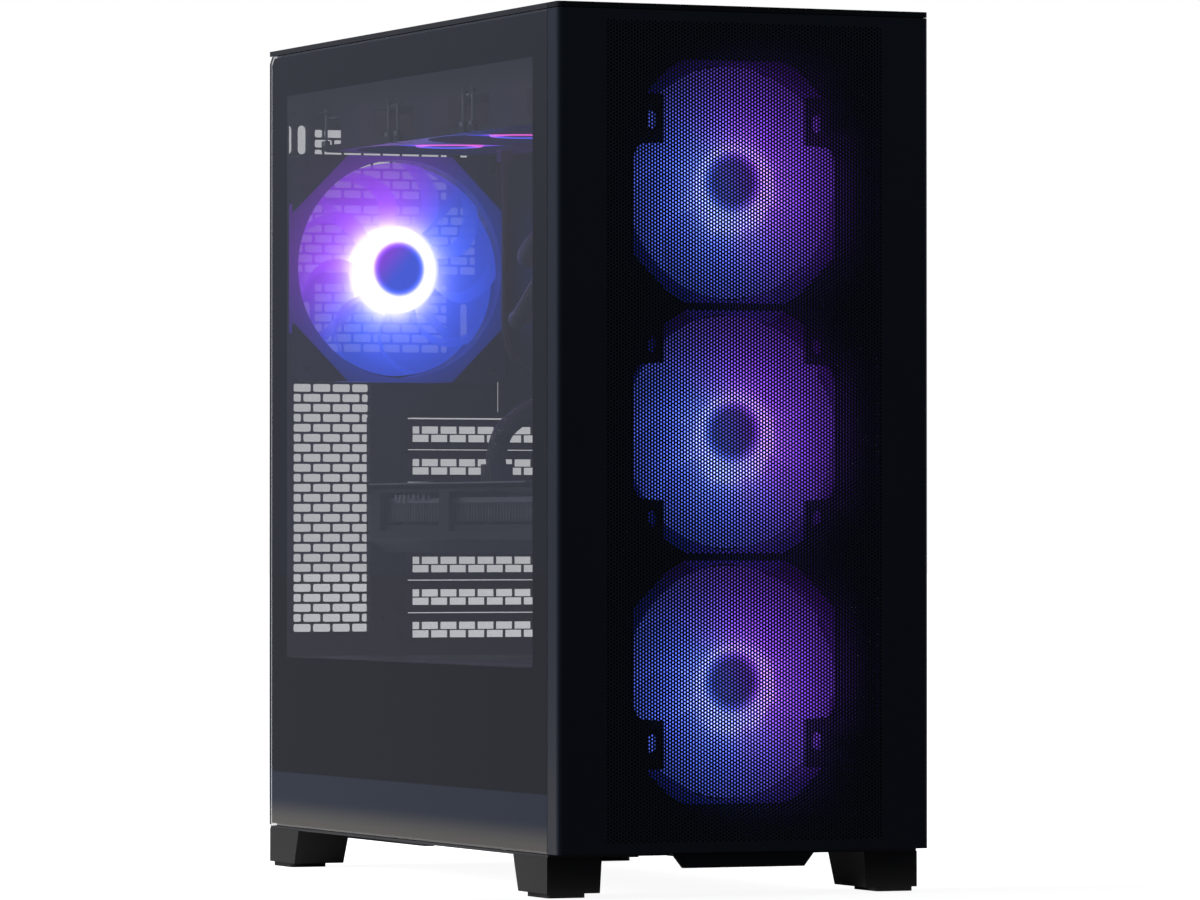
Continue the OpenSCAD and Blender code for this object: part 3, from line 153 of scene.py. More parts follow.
# %% Group helper
def new_group(name, inputs, outputs):
    """An empty node group with named sockets, its input node and its output node."""
    group = bpy.data.node_groups.new(name, "ShaderNodeTree")
    for title, kind, default in inputs:
        socket = group.interface.new_socket(title, in_out="INPUT", socket_type="NodeSocket" + kind)
        socket.default_value = default
    for title, kind in outputs:
        group.interface.new_socket(title, in_out="OUTPUT", socket_type="NodeSocket" + kind)
    given, result = (group.nodes.new("NodeGroup" + side) for side in ("Input", "Output"))
    return group, Tree(group), given.outputs, result.inputs


def give(tree, result, **values):
    """Links what a group puts out, and says so."""
    for title, value in values.items():
        tree.feed(result[title], value)
    print("group", tree.tree.name, "gives", ", ".join(values))

# %% [markdown]
# ## Grain and dust
# Powder coat and moulded plastic share one effect: a fine grain that scatters the highlight,
# and a broad, weak change of gloss from handling. It is one node group, placed in each
# material with its own grain size. Dust is another: it settles only where a surface faces up,
# so its mask comes from the surface normal, broken by noise.

# %% Grain group
grain, tree, given, result = new_group("grain", [
    ("Colour", "Color", (0.02, 0.02, 0.02, 1)), ("Size", "Float", 0.0006),
    ("Roughness", "Float", 0.5), ("Mottle", "Float", 0.1)],
    [("Colour", "Color"), ("Roughness", "Float"), ("Height", "Float")])
patches_per_metre = 14.0
place = tree.add("TexCoord").outputs["Object"]
fine = tree.noise(place, tree.math("DIVIDE", 1.0, given["Size"]))
broad = tree.noise(place, patches_per_metre, 3.0)
uneven, sparkle = (tree.math("MULTIPLY", tree.math("SUBTRACT", noise, 0.5), given["Mottle"])
    for noise in (broad, fine))
factor = tree.math("ADD", 1.0, tree.math("ADD", uneven, sparkle))
give(tree, result, Colour=tree.scale(given["Colour"], factor), Height=fine,
    Roughness=tree.math("ADD", given["Roughness"], uneven, clamp=True))

# %% Dust group
dust, tree, given, result = new_group("settled dust", [
    ("Colour", "Color", (0.02, 0.02, 0.02, 1)), ("Amount", "Float", 0.1)], [("Colour", "Color")])
dust_colour, clumps_per_metre = (0.16, 0.15, 0.14, 1), 60.0
facing_up = tree.vector("DOT_PRODUCT", tree.add("NewGeometry").outputs["Normal"], (0, 0, 1))
clumps = tree.noise(tree.add("TexCoord").outputs["Object"], clumps_per_metre, 6.0)
share = tree.math("MULTIPLY", tree.span(facing_up, 0.5, 1.0), tree.span(clumps, 0.35, 0.7))
share = tree.math("MULTIPLY", share, given["Amount"])
give(tree, result, Colour=tree.blend(share, given["Colour"], dust_colour))

# %% [markdown]
# ## Brushed metal, woven sleeves and circuit boards
# Brushing is noise stretched along one direction. A sleeve is two sets of threads crossing
# at a slant, drawn along the cable's own length and girth. A circuit board shows faint copper
# lanes under its black lacquer, in steps of 45 degrees, with small bare pads between them.

# %% Brushed group
brushed, tree, given, result = new_group("brushed", [
    ("Colour", "Color", (0.5, 0.5, 0.5, 1)), ("Stretch", "Vector", (20, 2500, 2500)),
    ("Roughness", "Float", 0.3), ("Depth", "Float", 0.15)],
    [("Colour", "Color"), ("Roughness", "Float"), ("Height", "Float")])
strokes = tree.vector("MULTIPLY", tree.add("TexCoord").outputs["Object"], given["Stretch"])
scratch = tree.noise(strokes, 1.0, 3.0)
change = tree.math("MULTIPLY", tree.math("SUBTRACT", scratch, 0.5), given["Depth"])
shade = tree.math("ADD", 1.0, tree.math("MULTIPLY", change, 1.6))
give(tree, result, Colour=tree.scale(given["Colour"], shade), Height=scratch,
    Roughness=tree.math("ADD", given["Roughness"], change, clamp=True))

# %% Sleeve group
sleeve, tree, given, result = new_group("woven sleeve", [
    ("Colour", "Color", (0.02, 0.02, 0.02, 1)), ("Thread", "Color", (0.06, 0.06, 0.07, 1)),
    ("Pitch", "Float", 0.0016)], [("Colour", "Color"), ("Height", "Float")])
along = tree.add("SeparateXYZ", {"Vector": tree.add("TexCoord").outputs["UV"]})
turns = tree.math("DIVIDE", math.tau, given["Pitch"])
u, v = (tree.math("MULTIPLY", along.outputs[i], turns) for i in (0, 1))
left, right = (tree.math("SINE", tree.math(way, u, v)) for way in ("ADD", "SUBTRACT"))
knot = tree.math("MULTIPLY", left, right)
weave = tree.blend(tree.span(knot, -0.4, 0.9), given["Colour"], given["Thread"])
give(tree, result, Colour=weave, Height=knot)

# %% Board group
traces, tree, given, result = new_group("board traces", [
    ("Lacquer", "Color", (0.012, 0.013, 0.015, 1)), ("Lane", "Color", (0.03, 0.033, 0.037, 1))],
    [("Colour", "Color"), ("Height", "Float")])
pad_tin, lane_turns, slant_turns = (0.34, 0.33, 0.3, 1), 4200.0, 3000.0
place = tree.add("TexCoord").outputs["Object"]
cells = tree.add("TexVoronoi", {"Vector": place, "Scale": 55.0}, distance="CHEBYCHEV")
level_share = tree.span(tree.add("SeparateColor", {"Color": cells.outputs["Color"]}).outputs[0], 0.45, 0.55)
part = tree.add("SeparateXYZ", {"Vector": place})
level = tree.math("MULTIPLY", part.outputs["Z"], lane_turns)
slant = tree.math("MULTIPLY", tree.math("ADD", part.outputs["Y"], part.outputs["Z"]), slant_turns)
level = tree.math("MULTIPLY", level, level_share)
slant = tree.math("MULTIPLY", slant, tree.math("SUBTRACT", 1.0, level_share))
lane = tree.span(tree.math("SINE", tree.math("ADD", level, slant)), 0.1, 0.5)
lane = tree.math("MULTIPLY", lane, tree.span(tree.noise(place, 40.0), 0.48, 0.56))
dots = tree.add("TexVoronoi", {"Vector": place, "Scale": 320.0, "Randomness": 0.35})
pad = tree.math("MULTIPLY", tree.span(dots.outputs["Distance"], 0.2, 0.16),
    tree.span(tree.noise(place, 90.0), 0.6, 0.62))
colour = tree.blend(lane, given["Lacquer"], given["Lane"])
give(tree, result, Colour=tree.blend(pad, colour, pad_tin), Height=lane)

# %% [markdown]
# ## The light of a fan
# Small lamps ring each hub. The milky blades carry their light outwards, so it is white
# hot at the hub's edge and fades to deep colour at the tips: blue on one side, magenta on the
# other. One group gives that colour for any point from its place around the hub. It works on
# an offset from the hub, so the blades, the ring and the still frame can all use it. A lamp
# inside each fan would light the blades too, but its light would also fill the whole case.

# %% Glow group
glow, tree, given, result = new_group("fan glow", [
    ("Offset", "Vector", (0, 0, 0)), ("Ring", "Float", 0.024), ("Reach", "Float", 0.02),
    ("Cool", "Color", (0.3, 0.42, 1, 1)), ("Warm", "Color", (0.62, 0.32, 1, 1)),
    ("Toward warm", "Vector", (0.8, 0.6, 0)), ("Sink", "Vector", (0, -0.004, 0)),
    ("Hub", "Float", 0.25), ("White", "Float", 0.4), ("Inside", "Float", 0.8),
    ("Coolest", "Float", -0.75)], [("Colour", "Color")])
soft_radius, warmest, dark_share, core_power = 0.02, 0.85, 0.45, 6.0
white_hot = (0.9, 0.85, 1, 1)
flat = tree.vector("MULTIPLY", given["Offset"], (1, 1, 0))
radius = tree.vector("LENGTH", flat)
toward = tree.vector("DOT_PRODUCT", flat, given["Toward warm"])
side = tree.math("DIVIDE", toward, tree.math("MAXIMUM", radius, soft_radius))
warmth = tree.span(side, given["Coolest"], warmest)
sunk = tree.vector("LENGTH", tree.vector("SUBTRACT", flat, given["Sink"]))
beyond = tree.math("MAXIMUM", tree.math("SUBTRACT", sunk, given["Ring"]), 0.0)
fade = tree.math("EXPONENT", tree.math("DIVIDE", tree.math("MULTIPLY", beyond, -1.0), given["Reach"]))
dark_edge = tree.math("MULTIPLY", given["Ring"], dark_share)
lit_edge = tree.math("MULTIPLY", given["Ring"], given["Inside"])
level = tree.math("MULTIPLY", fade, tree.span(radius, dark_edge, lit_edge, given["Hub"], 1.0))
colour = tree.blend(warmth, given["Cool"], given["Warm"])
hot = tree.math("MULTIPLY", tree.math("POWER", level, core_power), given["White"])
give(tree, result, Colour=tree.scale(tree.blend(hot, colour, white_hot), level))

# %% [markdown]
# ## Finishes
# Each finish is one Principled surface, fed by the groups. Gloss is a plain number on the
# shader's own socket; only what changes over the surface comes through nodes.

# %% Finish helper
def finish(name, colour, roughness, effect=None, values=None, bump=0.0, distance=0.0002, dusty=0.0,
        **sockets):
    """A Principled material; effect is a group that gives Colour, Roughness or Height."""
    material = bpy.data.materials.new(name)
    material.use_nodes = True
    tree = Tree(material.node_tree)
    surface = material.node_tree.nodes["Principled BSDF"].inputs
    for title, value in {"Base_Color": colour, "Roughness": roughness, **sockets}.items():
        surface[title.replace("_", " ")].default_value = value
    if effect:
        node = tree.use(effect, {"Colour": colour, "Roughness": roughness, **(values or {})})
        shown = node.outputs["Colour"]
        if dusty:
            shown = tree.use(dust, {"Colour": shown, "Amount": dusty}).outputs["Colour"]
        tree.feed(surface["Base Color"], shown)
        if "Roughness" in node.outputs:
            tree.feed(surface["Roughness"], node.outputs["Roughness"])
        if bump:
            height = {"Height": node.outputs["Height"], "Strength": bump, "Distance": distance}
            tree.feed(surface["Normal"], tree.add("Bump", height).outputs["Normal"])
    return material


# %% Two common kinds of finish
def coated(name, colour, roughness, size, mottle, bump=0.0, **more):
    """Powder coat or moulded plastic, with the size of a grain in metres."""
    return finish(name, (*colour, 1), roughness, grain, {"Size": size, "Mottle": mottle}, bump, **more)


def metal(name, colour, roughness, strokes, depth, bump=0.0, metallic=1.0):
    """Brushed metal; strokes are how many scratches a metre holds along x, y and z."""
    values = {"Stretch": strokes, "Depth": depth}
    return finish(name, (*colour, 1), roughness, brushed, values, bump, Metallic=metallic)

# %% Steel, plastic and rubber
low_gloss = {"Specular_IOR_Level": 0.3}
case_steel = coated("case_steel", (0.016, 0.016, 0.018), 0.5, 0.0005, 0.14, 0.25, dusty=0.1)
# The front steel is near-black paint; its blue tint is a painted sheen.
front_steel = coated("front_steel", (0.006, 0.0088, 0.0145), 0.42, 0.0004, 0.1, 0.12)
moulded = coated("moulded_plastic", (0.005, 0.0052, 0.0062), 0.46, 0.0007, 0.12, 0.3, **low_gloss)
foot_plastic = coated("foot_plastic", (0.0125, 0.012, 0.0115), 0.5, 0.0008, 0.12, 0.35, **low_gloss)
rubber = coated("foot_rubber", (0.02, 0.019, 0.018), 0.82, 0.001, 0.2, 0.3)
border = coated("border_black", (0.004, 0.004, 0.0045), 0.5, 0.0003, 0.04)
socket_plastic = coated("socket_plastic", (0.01, 0.01, 0.011), 0.38, 0.0004, 0.1, 0.15)
supply_paint = coated("supply_paint", (0.022, 0.022, 0.024), 0.55, 0.0009, 0.16, 0.45, dusty=0.08)
card_plastic = coated("card_plastic", (0.028, 0.033, 0.034), 0.42, 0.0005, 0.1, 0.15)
button_finish = coated("button_finish", (0.02, 0.02, 0.022), 0.35, 0.0005, 0.1, 0.15)
clip_plastic = coated("clip_plastic", (0.02, 0.018, 0.03), 0.4, 0.0005, 0.1, 0.15)
dark_blade = coated("dark_blade", (0.012, 0.012, 0.013), 0.4, 0.0006, 0.1, 0.15)
print("plain finishes:", len(bpy.data.materials))

# %% Metals, boards and sleeves
even = (900, 900, 900)
dark_alloy = metal("dark_alloy", (0.055, 0.057, 0.064), 0.36, (2200, 2200, 24), 0.12, 0.1, 0.85)
fin_alloy = metal("fin_alloy", (0.5, 0.51, 0.53), 0.34, (24, 2200, 2200), 0.1, 0.08)
bracket_steel = metal("bracket_steel", (0.42, 0.43, 0.45), 0.3, (30, 2500, 2500), 0.14, 0.1)
screw_black = metal("screw_black", (0.05, 0.05, 0.054), 0.34, even, 0.15, 0.05, 0.9)
bare_screw = metal("bare_screw", (0.62, 0.61, 0.6), 0.28, even, 0.15, 0.05)
# Light grey and not metallic, so it shows bright in plain light: a painted glint on the radiator's screws
# and a painted highlight along the card's edge.
glint_grey = metal("glint_grey", (0.55, 0.56, 0.58), 0.4, even, 0.1, metallic=0.0)
hub_cap = metal("hub_cap", (0.02, 0.02, 0.022), 0.3, even, 0.1, 0.05, 0.0)
board_lacquer = finish("board_lacquer", (0.012, 0.013, 0.015, 1), 0.32, traces, None, 0.15, 0.00005)
cable_pitch, tube_pitch = 0.0022, 0.0018
cable_sleeve = finish("cable_sleeve", (0.006, 0.006, 0.0075, 1), 0.6, sleeve,
    {"Thread": (0.03, 0.03, 0.04, 1), "Pitch": cable_pitch}, 0.6, 0.0004)
tube_sleeve = finish("tube_sleeve", (0.006, 0.006, 0.007, 1), 0.55, sleeve,
    {"Thread": (0.022, 0.022, 0.028, 1), "Pitch": tube_pitch}, 0.5, 0.0003)
print("all finishes:", len(bpy.data.materials))

# %% [markdown]
# ## Glass
# The side is tempered glass with a grey tint. A real pane refracts, mirrors more at a slant
# and lets light through. The shader does the first two by itself. The third needs help: a
# renderer finds lamps through refracting glass only by luck, so rays that look for shadow
# pass through a plain tint instead.

# %% Glass
glass = finish("tinted_glass", (0.5, 0.51, 0.52, 1), 0.0, Transmission_Weight=1.0, IOR=1.5)
tree, glass_nodes = Tree(glass.node_tree), glass.node_tree.nodes
path = tree.add("LightPath").outputs
tint = tree.add("BsdfTransparent", {"Color": (0.34, 0.36, 0.4, 1)}).outputs[0]
through = tree.math("MAXIMUM", path["Is Shadow Ray"], path["Is Diffuse Ray"])
pane = tree.choose(through, glass_nodes["Principled BSDF"].outputs[0], tint)
tree.feed(glass_nodes["Material Output"].inputs["Surface"], pane)
print("glass lets shadow rays through")

# %% [markdown]
# ## Lit plastics
# The blades are milky and a little see-through, so they are part glow, part gap. The ring is
# solid and hotter. The frame around them only catches the light. All three use the glow group
# with their own reach and colours. A wheel's own origin is at its hub, so its object
# coordinates are already the offset from the hub; a still frame subtracts the hub's place.

# %% Lit plastic helper
lit_roughness, corner_fade = 0.35, 0.0012


def lit_plastic(name, colour, strength, alpha, glow_values, hubs=(None,), octagon=None):
    """Plastic that glows by its place from a hub; hubs are (centre, across, up) in the frame."""
    material = finish(name, (*colour, 1), lit_roughness)
    tree = Tree(material.node_tree)
    place = tree.add("TexCoord").outputs["Object"]
    total = None
    for hub in hubs:
        offset = place
        if hub:
            away = tree.vector("SUBTRACT", place, tuple(hub[0]))
            sides = [tree.vector("DOT_PRODUCT", away, axis) for axis in hub[1:]]
            offset = tree.add("CombineXYZ", dict(enumerate(sides))).outputs[0]
        light = tree.use(glow, {"Offset": offset, **glow_values}).outputs["Colour"]
        if octagon:
            slant = tree.math("ADD", *(tree.math("ABSOLUTE", side) for side in sides))
            light = tree.blend(tree.span(slant, octagon + corner_fade, octagon), (0, 0, 0, 1), light)
        total = light if total is None else tree.blend(1.0, total, light, "ADD")
    surface = material.node_tree.nodes["Principled BSDF"].inputs
    tree.feed(surface["Emission Color"], total)
    surface["Emission Strength"].default_value = strength
    surface["Alpha"].default_value = alpha
    return material

# %% Colours of the light
front_glow = {"Cool": (0.1, 0.17, 1.0, 1), "Warm": (0.28, 0.075, 1.0, 1), "Toward warm": (0.92, 0.39, 0),
    "Sink": (0.001, -0.004, 0), "White": 0.16, "Ring": 0.024, "Reach": 0.0215}
rear_glow = {"Cool": (0.035, 0.105, 1.0, 1), "Warm": (0.33, 0.03, 1.0, 1), "Toward warm": (-0.74, 0.67, 0),
    "Coolest": -0.2, "Sink": (-0.003, -0.0008, 0), "Ring": 0.0265}
top_glow = {"Cool": (0.06, 0.06, 1.0, 1), "Warm": (0.95, 0.06, 0.75, 1), "Toward warm": (0.2, -0.95, 0),
    "Sink": (0, 0, 0), "Ring": 0.022}
rear_hot = {**rear_glow, "White": 0.75}
print("three sets of light")

# %% Blades and rings
front_blades = lit_plastic("front_blades", (0.005, 0.005, 0.012), 4.3, 1.0, front_glow)
front_ring = lit_plastic("front_ring", (0.012, 0.012, 0.03), 4.3, 1.0, {**front_glow, "Hub": 0.17})
rear_blades = lit_plastic("rear_blades", (0.008, 0.008, 0.03), 4.3, 0.6, {**rear_hot, "Reach": 0.034})
rear_ring = lit_plastic("rear_ring", (0.01, 0.01, 0.03), 4.4, 1.0,
    {**rear_hot, "Reach": 0.02, "Hub": 0.34, "Inside": 0.68})
top_blades = lit_plastic("radiator_blades", (0.04, 0.03, 0.06), 2.2, 0.9,
    {**top_glow, "Reach": 0.03, "White": 0.03})
top_ring = lit_plastic("radiator_ring", (0.1, 0.1, 0.2), 2.2, 1.0,
    {**top_glow, "Reach": 0.02, "Hub": 0.1, "White": 0.06})
print("lit plastics and all other finishes:", len(bpy.data.materials))

# %% Small lights
light_bar = finish("memory_light", (0.6, 0.3, 0.3, 1), 0.3,
    Emission_Color=(1.0, 0.12, 0.16, 1), Emission_Strength=1.6)
# The plate on the radiator is no lamp: its blue glow is painted light.
lit_plate = finish("lit_plate", (0.05, 0.05, 0.2, 1), 0.4,
    Emission_Color=(0.16, 0.13, 1.0, 1), Emission_Strength=0.7)
print("finishes in all:", len(bpy.data.materials))

# %% [markdown]
# ## Light on the fans' frames
# The still frames only catch the light of their own hub, so their material has to know where
# each hub is. The hubs could be typed in, but the boxes of the CAD frames already hold them:
# three large fans stand one above the other, three slim ones lie in a row.

# %% Hubs on the axis of their sleeves
front_low, front_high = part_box("front_fans")
rear_low, rear_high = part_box("rear_fan")
top_low, top_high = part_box("radiator_fans")
fan_140 = rear_high.x - rear_low.x
pitch_140 = ((front_high.z - front_low.z) - fan_140) / 2
pitch_120 = (top_high.y - top_low.y) / 3
front_x, top_x = (front_low.x + front_high.x) / 2, (top_low.x + top_high.x) / 2
front_hubs = [Vector((front_x, front_low.y, front_high.z - fan_140 / 2 - i * pitch_140)) for i in range(3)]
rear_hub = Vector(((rear_low.x + rear_high.x) / 2, rear_low.y, (rear_low.z + rear_high.z) / 2))
top_hubs = [Vector((top_x, top_low.y + (i + 0.5) * pitch_120, top_low.z)) for i in range(3)]
print("fans are", round(fan_140 / MM), "and", round(pitch_120 / MM), "mm")

# %% Frames that catch the light
across, upward, inward = (1, 0, 0), (0, 0, 1), (0, 1, 0)
octagon_edge = 0.743 * fan_140
front_frame_glow = {**front_glow, "Cool": (0.04, 0.08, 1.0, 1), "Warm": (0.25, 0.03, 1.0, 1),
    "Ring": 0.06, "Reach": 0.014, "Hub": 0.3}
front_frame_lit = lit_plastic("front_fan_frame", (0.01, 0.01, 0.02), 0.42, 1.0, front_frame_glow,
    [(hub, across, upward) for hub in front_hubs], octagon_edge)
rear_frame_lit = lit_plastic("rear_fan_frame", (0.03, 0.03, 0.06), 1.1, 1.0,
    {**rear_glow, "Ring": 0.05, "Reach": 0.022, "Hub": 0.7}, [(rear_hub, across, upward)], octagon_edge)
top_frame_lit = lit_plastic("radiator_fan_frame", (0.014, 0.014, 0.018), 0.1, 1.0,
    {**top_glow, "Ring": 0.05, "Reach": 0.006, "Hub": 0.5}, [(hub, across, inward) for hub in top_hubs])
print("frames cut off at", round(octagon_edge / MM), "mm")

# %% [markdown]
# ## Which CAD piece gets which finish
# Most CAD pieces already have the right shape and only take a finish. Steel is powder-coated,
# covers are moulded, coolers are dark brushed alloy. One table from finish to pieces is
# easier to read and to correct than a line for each of the sixty pieces.

# %% Dress the CAD nodes
dressing = {
    case_steel: "base_plate rear_panel front_wall top_plate board_tray psu_shroud right_panel io_shield "
        "slot_covers slot_clamp",
    front_steel: "front_shell front_mesh",
    glass: "glass_panel",
    border: "glass_frame",
    moulded: "front_frame pull_lip port_module",
    foot_plastic: "feet bottom_filter top_filter",
    rubber: "foot_pads",
    supply_paint: "psu_case",
    button_finish: "power_button light_button psu_switch",
    socket_plastic: "psu_inlet expansion_slots board_sockets pump_block",
    board_lacquer: "motherboard",
    dark_alloy: "io_cover board_heatsinks memory_modules card_backplate radiator",
    fin_alloy: "card_heatsink",
    bracket_steel: "card_bracket",
    screw_black: "thumbscrews psu_grille case_screws",
    light_bar: "memory_lights",
    front_frame_lit: "front_fans",
    rear_frame_lit: "rear_fan",
    top_frame_lit: "radiator_fans",
    card_plastic: "card_shroud card_rotor_1 card_rotor_2 card_rotor_3 psu_rotor",
    cable_sleeve: "card_cable board_cable",
    tube_sleeve: "coolant_tubes",
    front_blades: "front_rotor_1 front_rotor_2 front_rotor_3",
    rear_blades: "rear_rotor",
    top_blades: "radiator_rotor_1 radiator_rotor_2 radiator_rotor_3",
}
for material, names in dressing.items():
    for name in names.split():
        for slot in nodes[name].material_slots:
            slot.material = material
undressed = set(nodes) - set(" ".join(dressing.values()).split())
print("nodes without a finish:", sorted(undressed))

# %% [markdown]
# ## New pieces
# Fine detail is collected as plain shapes in one mesh per piece, which keeps the scene light.
# The class below gathers blocks, posts and sheets, then makes one object that rides on its
# body and takes the finishes it is given.

# %% Shape collector
class Shapes:
    """Gathers points and faces, each face with the number of its material."""

    def __init__(self):
        self.points, self.faces, self.tags, self.count = [], [], [], 0

    def take(self, points, faces, tag=0):
        points = np.asarray(points, float).reshape(-1, 3)
        self.points.append(points)
        self.faces += [tuple(i + self.count for i in face) for face in faces]
        self.tags += [tag] * len(faces)
        self.count += len(points)

    def block(self, low, high, tag=0):
        x, y, z = zip(low, high)
        corners = [(x[i], y[j], z[k]) for i in (0, 1) for j in (0, 1) for k in (0, 1)]
        sides = [(0, 1, 3, 2), (4, 6, 7, 5), (0, 4, 5, 1), (2, 3, 7, 6), (0, 2, 6, 4), (1, 5, 7, 3)]
        self.take(corners, sides, tag)

    def turned(self, centre, axis, profile, sides, tags=None):
        """A turned shape: profile is (radius, distance along the axis) from one end to the other."""
        axis = Vector(axis).normalized()
        side = axis.orthogonal().normalized()
        other = axis.cross(side)
        rows = len(profile) - 1
        tags = tags or [0] * rows
        angles = [math.tau * i / sides for i in range(sides)]
        points = [Vector(centre) + axis * far + (side * math.cos(a) + other * math.sin(a)) * r
            for r, far in profile for a in angles]
        faces = []
        for row in range(rows):
            near, far = row * sides, (row + 1) * sides
            faces += [(near + i, near + (i + 1) % sides, far + (i + 1) % sides, far + i)
                for i in range(sides)]
        first, last = tuple(reversed(range(sides))), tuple(range(rows * sides, (rows + 1) * sides))
        self.take(points, faces + [first, last])
        self.tags[-len(faces) - 2:] = [tag for tag in tags for _ in angles] + [tags[0], tags[-1]]

    def make(self, name, materials, body, slot, replaces=(), smooth=False, bevel=0.0, matrix=None):
        """One object that rides on its body; slot is not used."""
        mesh = bpy.data.meshes.new(name)
        mesh.from_pydata(np.concatenate(self.points).tolist(), [], self.faces)
        for material in materials:
            mesh.materials.append(material)
        mesh.polygons.foreach_set("material_index", self.tags)
        if smooth:
            mesh.shade_smooth()
        mesh.update()
        piece = bpy.data.objects.new(name, mesh)
        bpy.context.scene.collection.objects.link(piece)
        if matrix is not None:
            piece.matrix_world = matrix
        if bevel:
            edge = piece.modifiers.new("edges", "BEVEL")
            edge.width, edge.segments = bevel, 2
            edge.limit_method, edge.angle_limit = "ANGLE", math.radians(40)
        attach(piece, body)
        if replaces:
            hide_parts(*replaces)
        print(name, len(mesh.polygons), "faces")
        return piece

# %% [markdown]
# ## The perforated front
# The sheet has about twenty thousand round holes in staggered columns. A see-through
# pattern would be quicker, but it has no thickness, and the sheet's own thickness is what
# hides the light at a slant. So every hole is cut: one cell of the pattern is a rectangle
# with a hole, and the mesh repeats it with shared measures.

# %% Perforated sheet
def perforated(shapes, x, z, y, pitch, hole):
    """Fills x by z with staggered holes, between the two faces y; odd columns shift by half a pitch."""
    step = pitch * math.sqrt(3) / 2
    columns, rows = int((x[1] - x[0]) / step), int((z[1] - z[0]) / pitch)
    left, low = (x[0] + x[1] - columns * step) / 2, (z[0] + z[1] - rows * pitch) / 2
    h, v = step / 2, pitch / 2
    outer = np.array([(h, 0), (h, v), (-h, v), (-h, 0), (-h, -v), (h, -v)])
    angles = np.radians([0, 60, 120, 180, 240, 300])
    inner = np.stack([np.cos(angles), np.sin(angles)], 1) * hole / 2
    flat = np.concatenate([outer, inner])
    cell = np.concatenate([np.insert(flat, 1, y[0], 1), np.insert(flat, 1, y[1], 1)])
    faces = []
    for i in range(6):
        j = (i + 1) % 6
        faces += [(i, 6 + i, 6 + j, j), (12 + i, 12 + j, 18 + j, 18 + i), (6 + i, 18 + i, 18 + j, 6 + j)]
    spots = np.array([(left + (i + 0.5) * step, 0.0, low + (j + 0.5 + 0.5 * (i % 2)) * pitch)
        for i in range(columns) for j in range(rows - i % 2)])
    every = np.array(faces)[None] + np.arange(len(spots))[:, None, None] * len(cell)
    shapes.take(cell[None] + spots[:, None], every.reshape(-1, 4).tolist())
    for i in range(1, columns, 2):
        for end in (low, low + (rows - 0.5) * pitch):
            shapes.block((left + i * step, y[0], end), (left + (i + 1) * step, y[1], end + pitch / 2))
    return (left, left + columns * step), (low, low + rows * pitch), len(spots)

# %% Front sheet
low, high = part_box("front_mesh")
hole_pitch, hole_width = 0.0021, 0.00134
front = Shapes()
x, z, count = perforated(front, (low.x, high.x), (low.z, high.z), (low.y, high.y), hole_pitch, hole_width)
for side, end in ((low.x, x[0]), (x[1], high.x)):
    front.block((side, low.y, low.z), (end, high.y, high.z))
for side, end in ((low.z, z[0]), (z[1], high.z)):
    front.block((x[0], low.y, side), (x[1], high.y, end))
front.make("front_grille", [front_steel], "front_panel", "front_steel", ["front_mesh"])
print(count, "holes")

# %% [markdown]
# ## Pressed sheets
# The front wall behind the grille and the rear panel are seen mostly by their holes: three
# round intakes with flats and tabs, rows of brick-shaped vents, long slots. Cutting so many
# holes with boolean modifiers is slow and leaves poor edges. So each sheet is drawn as closed
# outlines, which a filled curve turns into a plate with every hole cut through.

# %% Outline helpers
def mm(*values):
    """Millimetres as metres."""
    return tuple(v * MM for v in values)


def box_loop(x, z, radius=0.0):
    """A rectangle, with rounded corners if radius is given."""
    if not radius:
        return [(x[0], z[0]), (x[1], z[0]), (x[1], z[1]), (x[0], z[1])]
    right, left, down, up = x[1] - radius, x[0] + radius, z[0] + radius, z[1] - radius
    loop = []
    for cx, cz, start in ((right, down, -90), (right, up, 0), (left, up, 90), (left, down, 180)):
        turns = [math.radians(start + a) for a in (0, 30, 60, 90)]
        loop += [(cx + radius * math.cos(a), cz + radius * math.sin(a)) for a in turns]
    return loop


def round_loop(x, z, radius, sides=16):
    turns = [math.tau * i / sides for i in range(sides)]
    return [(x + radius * math.cos(a), z + radius * math.sin(a)) for a in turns]


def slot_loop(x, z, width):
    """An upright slot; its ends are kept a hair short of half round."""
    return box_loop((x - width / 2, x + width / 2), z, width / 2 * 0.99)


# %% Rows of bricks
brick, brick_pitch, brick_corner = mm(11.6, 4.8), mm(12.95, 6.2), 1.1 * MM
narrowest = 2 * MM


def brick_loops(x, z, shift_first):
    """Rows of bricks from the top down; every second row is shifted by half a brick."""
    loops, row, top = [], 0, z[1]
    while top - brick[1] > z[0] - 1e-5:
        start = x[0] - (brick_pitch[0] / 2 if (row % 2 == 0) == shift_first else 0)
        while start < x[1] - narrowest:
            left, right = max(start, x[0]), min(start + brick[0], x[1])
            if right - left > narrowest:
                loops.append(box_loop((left, right), (top - brick[1], top), brick_corner))
            start += brick_pitch[0]
        top, row = top - brick_pitch[1], row + 1
    return loops


# %% Plate and its folded edges
sheet, fold_end, overlap = 1 * MM, 10 * MM, 0.1 * MM


def plate(shapes, loops, y):
    """Cuts the inner loops out of the first and fills between the two faces y."""
    curve = bpy.data.curves.new("outline", "CURVE")
    curve.dimensions, curve.fill_mode, curve.extrude = "2D", "BOTH", (y[1] - y[0]) / 2
    for loop in loops:
        spline = curve.splines.new("POLY")
        spline.points.add(len(loop) - 1)
        spline.points.foreach_set("co", [v for a, b in loop for v in (a, b, 0, 1)])
        spline.use_cyclic_u = True
    drawn = bpy.data.objects.new("outline", curve)
    mesh = bpy.data.meshes.new_from_object(drawn)
    points = [(v.co.x, (y[0] + y[1]) / 2 - v.co.z, v.co.y) for v in mesh.vertices]
    shapes.take(points, [tuple(p.vertices) for p in mesh.polygons])
    bpy.data.objects.remove(drawn)
    bpy.data.curves.remove(curve)
    bpy.data.meshes.remove(mesh)


